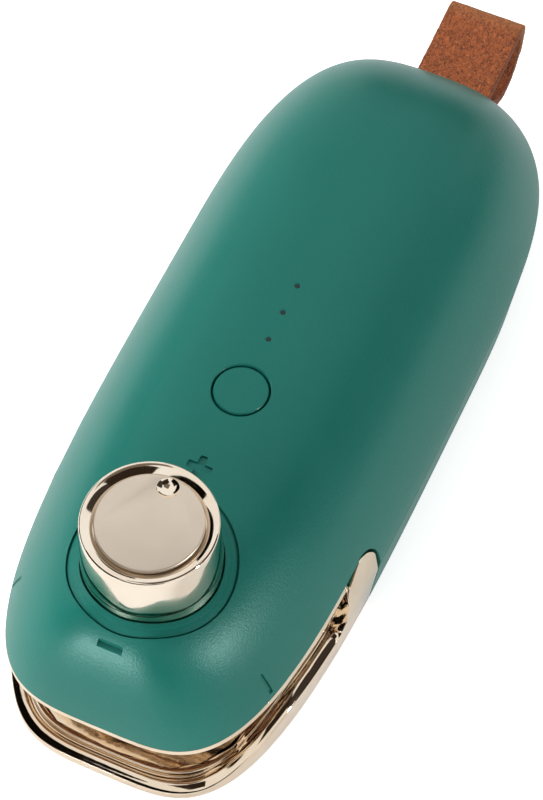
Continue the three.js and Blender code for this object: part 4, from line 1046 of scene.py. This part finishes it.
def jaw_section(y, skin_line, rim_line):
    """The jaw wall's section at y, as (inset, height) points up the outside and down the inside."""
    skin, rim = height_on(skin_line, y), min(height_on(rim_line, y), RIM_REAR_Z)
    tray = TRAY_FRONT_Z + TRAY_SLOPE * (y - CASE_FRONT_Y)

    # Towards the hinge the section eases into a plain narrow arm: 0 in front, 1 at the arm
    arm = min(max((y - HEAD_FRONT_Y + ARM_LEAD) / ARM_RUN, 0), 1)
    arm = arm * arm * (3 - 2 * arm)
    channel = min(skin, rim) - CHANNEL_DEPTH
    channel += (skin - 0.02 - channel) * arm
    rim += (skin - rim) * arm
    size = 1 - ARM_NARROWING * arm
    shoulder, dome = JAW_SHOULDER * size, JAW_DOME * size

    # Outside: bottom round, upright side, shoulder and dome
    points = [(0, CASE_LOW + BOTTOM_ROUND * (1 - math.sin(math.radians(a)))) for a in range(90, -1, -15)]
    upright = skin - JAW_EDGE_HEIGHT * size
    low = CASE_LOW + BOTTOM_ROUND
    points += [(0, low + (upright - low) * share) for share in (0.25, 0.5, 0.75, 1)]
    for tilt in SHOULDER_TILTS:
        lean = math.radians(tilt)
        points.append((shoulder * (1 - math.sin(lean)), upright + shoulder * math.cos(lean)))
    dome_inset = points[-1][0] + dome * math.sin(math.pi / 4)
    points += arc(dome_inset, points[-1][1] - dome * math.cos(math.pi / 4), dome, 130, 100, 5)

    # Top: channel and rim, their edges broken by a few hundredths
    crest = points[-1][0]
    points += [
        (crest + 0.06, skin - 0.02), (crest + 0.1, skin - 0.08 + 0.06 * arm), (CHANNEL_OUT, channel + 0.05),
        (CHANNEL_OUT + 0.06, channel), (CHANNEL_IN - 0.06, channel), (CHANNEL_IN, channel + 0.05 * (1 - arm)),
        (CHANNEL_IN, rim - 0.14), (CHANNEL_IN + 0.03, rim - 0.06), (CHANNEL_IN + 0.1, rim),
        (JAW_WALL - 0.14, rim), (JAW_WALL - 0.05, rim - 0.04), (JAW_WALL, rim - 0.14)]

    # Inside: cove, ledge and the wall down to the floor
    ledge_z = tray + TRAY_LEDGE_HEIGHT
    cove = min(JAW_COVE, rim - 0.3 - tray)
    points += arc(JAW_WALL + cove, ledge_z + cove, cove, 180, 270, 5)
    ledge = JAW_WALL + cove + TRAY_LEDGE
    points += [
        (ledge, ledge_z), (ledge + 0.03, tray), (ledge, tray - 0.03), (JAW_WALL + 0.1, tray - 0.03),
        (JAW_WALL, tray - 0.12), (JAW_WALL, JAW_FLOOR + 0.8), (JAW_WALL + 0.2, JAW_FLOOR + 0.2),
        (JAW_WALL + 0.8, JAW_FLOOR)]
    return points


def jaw_form(segments=480):
    """The jaw's wall drawn round the case's outline ring by ring, from its floor up and back down."""
    skin_line = smooth_line([
        *jaw_line_points(SKIN_SIDE_SHARES, SKIN_SIDE_Z, HEAD_FRONT_Z),
        *jaw_line_points(SKIN_FRONT_SHARES, SKIN_FRONT_Z, SKIN_SIDE_Z)])
    rim_line = smooth_line(jaw_line_points(RIM_SHARES, RIM_FRONT_Z, RIM_REAR_Z))
    sections = {}

    def place(turn, number):
        if turn not in sections:
            y = outline_point(turn, *case_reaches(SKIN_SIDE_Z / 2, JAW_MIDDLE_INSET))[1]
            sections[turn] = jaw_section(y, skin_line, rim_line)
        inset, z = sections[turn][number]
        return (*outline_point(turn, *case_reaches(z, inset)), z)

    return ringed_form(segments, len(jaw_section(CASE_FRONT_Y, skin_line, rim_line)), place)


def make_jaw_cover():
    jaw_rear = PIVOT_Y + HEAD_RADIUS
    head_profile = side_prism([
        (-2 * FAR, -FAR), (jaw_rear, -FAR), *arc(PIVOT_Y, PIVOT_Z, HEAD_RADIUS, 0, 100),
        (HEAD_FRONT_Y, HEAD_FRONT_Z), (HEAD_FRONT_Y - 0.1, FAR), (-2 * FAR, FAR)])
    cover = worked(
        jaw_form(),
        ("INTERSECT", head_profile),
        ("UNION", cross_wall(0.4, jaw_rear - JAW_REAR_WALL, jaw_rear - 0.01)),
        ("UNION", screw_rods(JAW_SCREWS, BOSS_RADIUS, CASE_LOW + BOSS_SUNK, CARRIER_BOSS_LOW - SEAT_GAP)),
        ("DIFFERENCE", screw_rods(JAW_SCREWS, SCREW_HEAD_HOLE_RADIUS, -FAR, JAW_SCREW_HOLE_Z)),
        ("DIFFERENCE", screw_rods(JAW_SCREWS, SCREW_HOLE_RADIUS, -FAR, FAR, 32)))

    def on_head(edge):
        behind_nose = min(vert.co.y for vert in edge.verts) > PIVOT_Y - HEAD_RADIUS
        return behind_nose and edge.verts[0].co.z > HEAD_EDGE_LOW_Z

    soften(cover, HEAD_EDGE_ROUND, angle=40, segments=3, where=on_head)
    finish_piece(cover, "jaw_cover", "jaw", "gilt_plating", "lower_jaw", sharp=50, forms=(jaw_form(),))


def make_seal_pad():
    """Silicone pad in the jaw's channel, its long edges rounded."""
    low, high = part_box("silicone_pad")
    bm = block(
        -PAD_HALF_LENGTH, PAD_HALF_LENGTH, -PAD_HALF_WIDTH, PAD_HALF_WIDTH, -PAD_HALF_HEIGHT, PAD_HALF_HEIGHT)
    bevelled(bm, bm.edges[:], PAD_ROUND, 3)
    lean = math.atan(LIP_SLOPE) + CLOSING_ANGLE
    bmesh.ops.rotate(bm, matrix=Matrix.Rotation(lean, 3, "X"), verts=bm.verts)
    bmesh.ops.translate(bm, vec=(Vector(low) + Vector(high)) / 2 / MM, verts=bm.verts)
    finish_piece(bm, "seal_pad", "jaw", "pad_silicone", "silicone_pad")


# Knob and button


def make_knob_cap():
    """The knob's bright ring: side with a groove, rounded crest and a bevel down to the disc."""
    low = WELL_FLOOR_Z + SPLIT_GAP
    bore = DISC_RADIUS + DISC_GAP
    inner = KNOB_TOP_RADIUS - KNOB_WALL
    ceiling = KNOB_SEAT_Z - KNOB_WALL
    groove_low, groove_top = KNOB_GROOVE_Z - KNOB_GROOVE / 2, KNOB_GROOVE_Z + KNOB_GROOVE / 2
    taper = (KNOB_BASE_RADIUS - KNOB_CREST_RADIUS) / (KNOB_TOP_Z - KNOB_GROOVE_Z)
    side = [(KNOB_BASE_RADIUS - taper * (z - KNOB_GROOVE_Z), z) for z in (groove_top, *KNOB_SIDE_ZS)]
    crest = arc(
        KNOB_CREST_RADIUS - KNOB_CREST_ROUND, KNOB_TOP_Z - KNOB_CREST_ROUND, KNOB_CREST_ROUND, 0, 90, 6)
    bevel = [(KNOB_CREST_RADIUS - BEVEL_INSET, KNOB_TOP_Z - BEVEL_DROP)]
    for tilt in BEVEL_TILTS:
        radius, z = bevel[-1]
        bevel.append((radius - BEVEL_STEP, z - BEVEL_STEP * math.tan(math.radians(tilt))))
    cap = turned([
        (KNOB_BASE_RADIUS - KNOB_BASE_ROUND, low), (KNOB_BASE_RADIUS, low + KNOB_BASE_ROUND),
        (KNOB_BASE_RADIUS, groove_low), (KNOB_BASE_RADIUS - KNOB_GROOVE, groove_low),
        (KNOB_BASE_RADIUS - KNOB_GROOVE, groove_top), *side, *crest, *bevel,
        (bore, bevel[-1][1] - 0.06), (bore, KNOB_SEAT_Z), (0, KNOB_SEAT_Z), (0, ceiling),
        (inner, ceiling), (inner, low)])
    finish_piece(cap, "knob_ring", "knob", "knob_gilt", "knob_cap", sharp=32)


def make_knob_disc():
    """The knob's satin disc, with a polished dimple near its edge."""
    ball_radius = (DIMPLE_RADIUS ** 2 + DIMPLE_DEPTH ** 2) / (2 * DIMPLE_DEPTH)
    dimple = Vector((0, KNOB_Y + DIMPLE_REACH, DISC_FACE_Z))
    ball = bmesh.new()
    bmesh.ops.create_uvsphere(ball, u_segments=128, v_segments=192, radius=ball_radius)
    bmesh.ops.translate(ball, vec=dimple + Vector((0, 0, ball_radius - DIMPLE_DEPTH)), verts=ball.verts)
    plate = rod(DISC_RADIUS, DISC_LOW_Z, DISC_FACE_Z, segments=144)
    soften(plate, DISC_ROUND, angle=40, segments=6)
    disc = soften(worked(plate, ("DIFFERENCE", ball)), DIMPLE_ROUND, angle=25)
    piece = finish_piece(disc, "knob_face", "knob", "knob_satin", "knob_disc", sharp=25)
    piece.data.materials.append(FINISHES["knob_gilt"])
    for face in piece.data.polygons:
        place = face.center / MM
        near = (place.xy - dimple.xy).length < DIMPLE_RADIUS + 0.01
        if near and place.z < DISC_FACE_Z - 0.01 and face.normal.z > 0.5:
            face.material_index = 1


def make_power_key():
    """The button's cap with its rounded edge, flange and stem, its top following the case's."""
    edge_z = CASE_TOP_Z - BUTTON_SUNK
    edge = [(BUTTON_RADIUS - inwards, edge_z + up) for inwards, up in BUTTON_EDGE]
    cap = worked(
        turned(
            [(0, FLANGE_LOW_Z), (BUTTON_RADIUS, FLANGE_LOW_Z), *edge, (edge[-1][0], FAR), (0, FAR)],
            BUTTON_Y, 144),
        ("INTERSECT", case_form(lowered=BUTTON_SUNK)),
        ("UNION", rod(FLANGE_RADIUS, FLANGE_LOW_Z, FLANGE_TOP_Z, 0, BUTTON_Y, 64)),
        ("UNION", rod(STEM_RADIUS, STEM_LOW_Z, STEM_TOP_Z, 0, BUTTON_Y, 48)))
    finish_piece(
        cap, "power_key", "button", "case_green", "power_button", forms=(case_form(lowered=BUTTON_SUNK),))


# Suede loop


def closed_curve(points, count):
    """Evenly spaced points of a closed centripetal curve through the given ones."""
    total = len(points)
    dense = []
    for k in range(total):
        p0, p1, p2, p3 = (Vector(points[(k + j) % total]) for j in (-1, 0, 1, 2))
        d0, d1, d2 = ((b - a).length ** 0.5 for a, b in ((p0, p1), (p1, p2), (p2, p3)))
        v1 = ((p1 - p0) / d0 - (p2 - p0) / (d0 + d1) + (p2 - p1) / d1) * d1
        v2 = ((p2 - p1) / d1 - (p3 - p1) / (d1 + d2) + (p3 - p2) / d2) * d1
        dense += [cubic(p1, p2, v1, v2, i / 24) for i in range(24)]
    lengths = [0.0]
    for a, b in zip(dense, dense[1:] + dense[:1]):
        lengths.append(lengths[-1] + (b - a).length)
    even, k = [], 0
    for i in range(count):
        want = lengths[-1] * i / count
        while lengths[k + 1] < want:
            k += 1
        share = (want - lengths[k]) / (lengths[k + 1] - lengths[k])
        even.append(dense[k].lerp(dense[(k + 1) % len(dense)], share))
    return even


def loop_stations():
    """Points of the strap's middle line, round its pin, out below and back above."""
    run = LOOP_END_Y - LOOP_PIN_Y
    neck = LEATHER / 2 + FIT_GAP / 2
    lower, upper = LOOP_PIN_Z - neck, LOOP_PIN_Z + neck
    return closed_curve([
        *arc(LOOP_PIN_Y, LOOP_PIN_Z, LOOP_PIN_RADIUS + FIT_GAP + LEATHER / 2, 60, 300, 10),
        *[(LOOP_PIN_Y + run * along, lower - LOOP_SAG * sag) for along, sag in LOOP_LOWER_SHARES],
        (LOOP_END_Y, upper + LOOP_RISE * 0.25),
        *[(LOOP_PIN_Y + run * along, upper + LOOP_RISE * rise) for along, rise in LOOP_UPPER_SHARES]],
        LOOP_STATIONS)


def strap_section():
    """The strap's section as (across, out) points, with rounded edges and flats in narrow strips."""
    across, out = LOOP_WIDTH / 2 - LEATHER_ROUND, LEATHER / 2 - LEATHER_ROUND
    shares = LOOP_ACROSS_SHARES + [-share for share in reversed(LOOP_ACROSS_SHARES)]
    section = []
    for side_x, side_z, start in ((1, 1, 0), (-1, 1, 90), (-1, -1, 180), (1, -1, 270)):
        section += arc(side_x * across, side_z * out, LEATHER_ROUND, start, start + 90, 4)
        if side_x == side_z:
            section += [(side_z * share * across, side_z * LEATHER / 2) for share in shares]
    return section


def make_suede_loop():
    """One suede strap round its pin, with a rough surface and slightly wavy cut edges."""
    stations, section = loop_stations(), strap_section()
    bm = bmesh.new()
    order = bm.verts.layers.int.new("order")
    ring = [bm.verts.new((x, 0, z)) for x, z in section]
    for number, vert in enumerate(ring):
        vert[order] = number
    edges = [bm.edges.new(pair) for pair in zip(ring, ring[1:] + ring[:1])]
    first_edges = list(edges)
    for number, at in enumerate(stations):
        ahead = (stations[(number + 1) % len(stations)] - stations[number - 1]).normalized()
        if number:
            ring, edges = drawn_on(bm, edges)
        for vert in ring:
            x, out = section[vert[order]]
            vert.co = (LOOP_X + x, at.x + ahead.y * out, at.y - ahead.x * out)
    bmesh.ops.bridge_loops(bm, edges=edges + first_edges)
    bmesh.ops.remove_doubles(bm, verts=bm.verts, dist=0.001)
    bmesh.ops.recalc_face_normals(bm, faces=bm.faces)
    bm.normal_update()
    for vert in bm.verts:
        rough = noise.noise(vert.co * 1.9) * 0.05 + noise.noise(vert.co * 0.45) * 0.05
        vert.co += vert.normal * (rough - 0.06)
    finish_piece(bm, "suede_loop", "loop", "tan_leather", "strap", sharp=60)


# Camera and studio


def aim(thing, place, target):
    """Puts a camera or lamp in its place and turns it to the target."""
    thing.location = place
    thing.rotation_euler = (Vector(target) - Vector(place)).to_track_quat("-Z", "Y").to_euler()


def set_camera():
    data = bpy.data.cameras.new("photo_camera")
    data.sensor_width = CAMERA_SENSOR
    data.lens = CAMERA_SENSOR * FOCAL_PIXELS / PICTURE_HEIGHT
    data.clip_start = 0.01
    data.clip_end = 20
    camera = linked("photo_camera", data)
    aim(camera, CAMERA_PLACE * MM, CAMERA_TARGET * MM)
    bpy.context.scene.camera = camera


def soft_box(name, place, width, height, power):
    data = bpy.data.lights.new(name, "AREA")
    data.shape = "RECTANGLE"
    data.size = width
    data.size_y = height
    data.energy = power
    box = linked(name, data)
    aim(box, place, LIT_MIDDLE)
    return box


def stage_sheet(name, place, target, width, height, material):
    """A flat sheet that belongs to the studio, facing the target."""
    bm = bmesh.new()
    bmesh.ops.create_grid(bm, x_segments=1, y_segments=1, size=0.5)
    bmesh.ops.scale(bm, vec=(width, height, 1), verts=bm.verts)
    turn = (Vector(target) - Vector(place)).to_track_quat("Z", "Y").to_matrix().to_4x4()
    bmesh.ops.transform(bm, matrix=Matrix.Translation(place) @ turn, verts=bm.verts)
    sheet = linked(name, mesh_of(bm, name))
    sheet.data.materials.append(material)
    return sheet


def gloss_seen(nodes, path):
    """1 for rays that a gloss or a clear part sends out, and 0 for others."""
    return nodes.maths("MAXIMUM", path.outputs["Is Glossy Ray"], path.outputs["Is Transmission Ray"])


def floor_paint():
    """Matt paint, with a little light of its own where the camera or a gloss sees it."""
    material, nodes, out = bare_material("floor_white")
    paint = nodes.add("ShaderNodeBsdfDiffuse", {"Color": FLOOR_COLOUR, "Roughness": 0.0})
    path = nodes.add("ShaderNodeLightPath")
    glow = nodes.maths(
        "ADD", nodes.times(path.outputs["Is Camera Ray"], FLOOR_CAMERA_GLOW),
        nodes.times(gloss_seen(nodes, path), FLOOR_GLOSS_GLOW))
    shine = nodes.add("ShaderNodeEmission", {"Color": WHITE, "Strength": glow})
    both = nodes.add("ShaderNodeAddShader", {0: paint.outputs[0], 1: shine.outputs[0]})
    nodes.feed(out.inputs["Surface"], both.outputs[0])
    return material


def studio_card(name, azimuth, elevation, distance, width, height, colour):
    """A card round the object that only its gloss sees, as flags and walls do in a studio."""
    turn, tilt = math.radians(azimuth), math.radians(elevation)
    away = Vector((math.cos(tilt) * math.cos(turn), math.cos(tilt) * math.sin(turn), math.sin(tilt)))
    material, nodes, out = bare_material(name)
    tone = nodes.add("ShaderNodeEmission", {"Color": colour, "Strength": 1.0})
    nodes.feed(out.inputs["Surface"], tone.outputs[0])
    card = stage_sheet(name, CARD_MIDDLE + distance * away, CARD_MIDDLE, width, height, material)
    card.visible_camera = False
    card.visible_diffuse = False
    card.visible_shadow = False


def set_world():
    """A white world that gives the object little light but is seen white, also by its gloss."""
    world = bpy.data.worlds.new("studio")
    bpy.context.scene.world = world
    world.use_nodes = True
    nodes = Nodes(world.node_tree)
    path = nodes.add("ShaderNodeLightPath")
    seen = nodes.maths("MAXIMUM", path.outputs["Is Camera Ray"], gloss_seen(nodes, path))
    background = world.node_tree.nodes["Background"]
    nodes.feed(background.inputs["Color"], WHITE)
    nodes.feed(background.inputs["Strength"], nodes.spread(seen, 0, 1, WORLD_STRENGTH, 1.0))


def set_studio():
    bpy.context.scene.view_settings.view_transform = "Standard"
    set_world()
    stage_sheet("floor", (0, 0, 0), (0, 0, 1), FLOOR_SIZE, FLOOR_SIZE, floor_paint())
    for name, box in SOFT_BOXES.items():
        soft_box(name, *box).visible_glossy = False
    for name, lamp in LAMPS.items():
        soft_box(name, *lamp)
    for name, card in STUDIO_CARDS.items():
        studio_card(name, *card)


# Scene

set_camera()
finish_cad_nodes()
make_case_top()
make_case_bottom()
make_base_pad()
make_jaw_cover()
make_mouth_bead()
make_knob_cap()
make_knob_disc()
make_power_key()
make_suede_loop()
make_seal_pad()
set_studio()
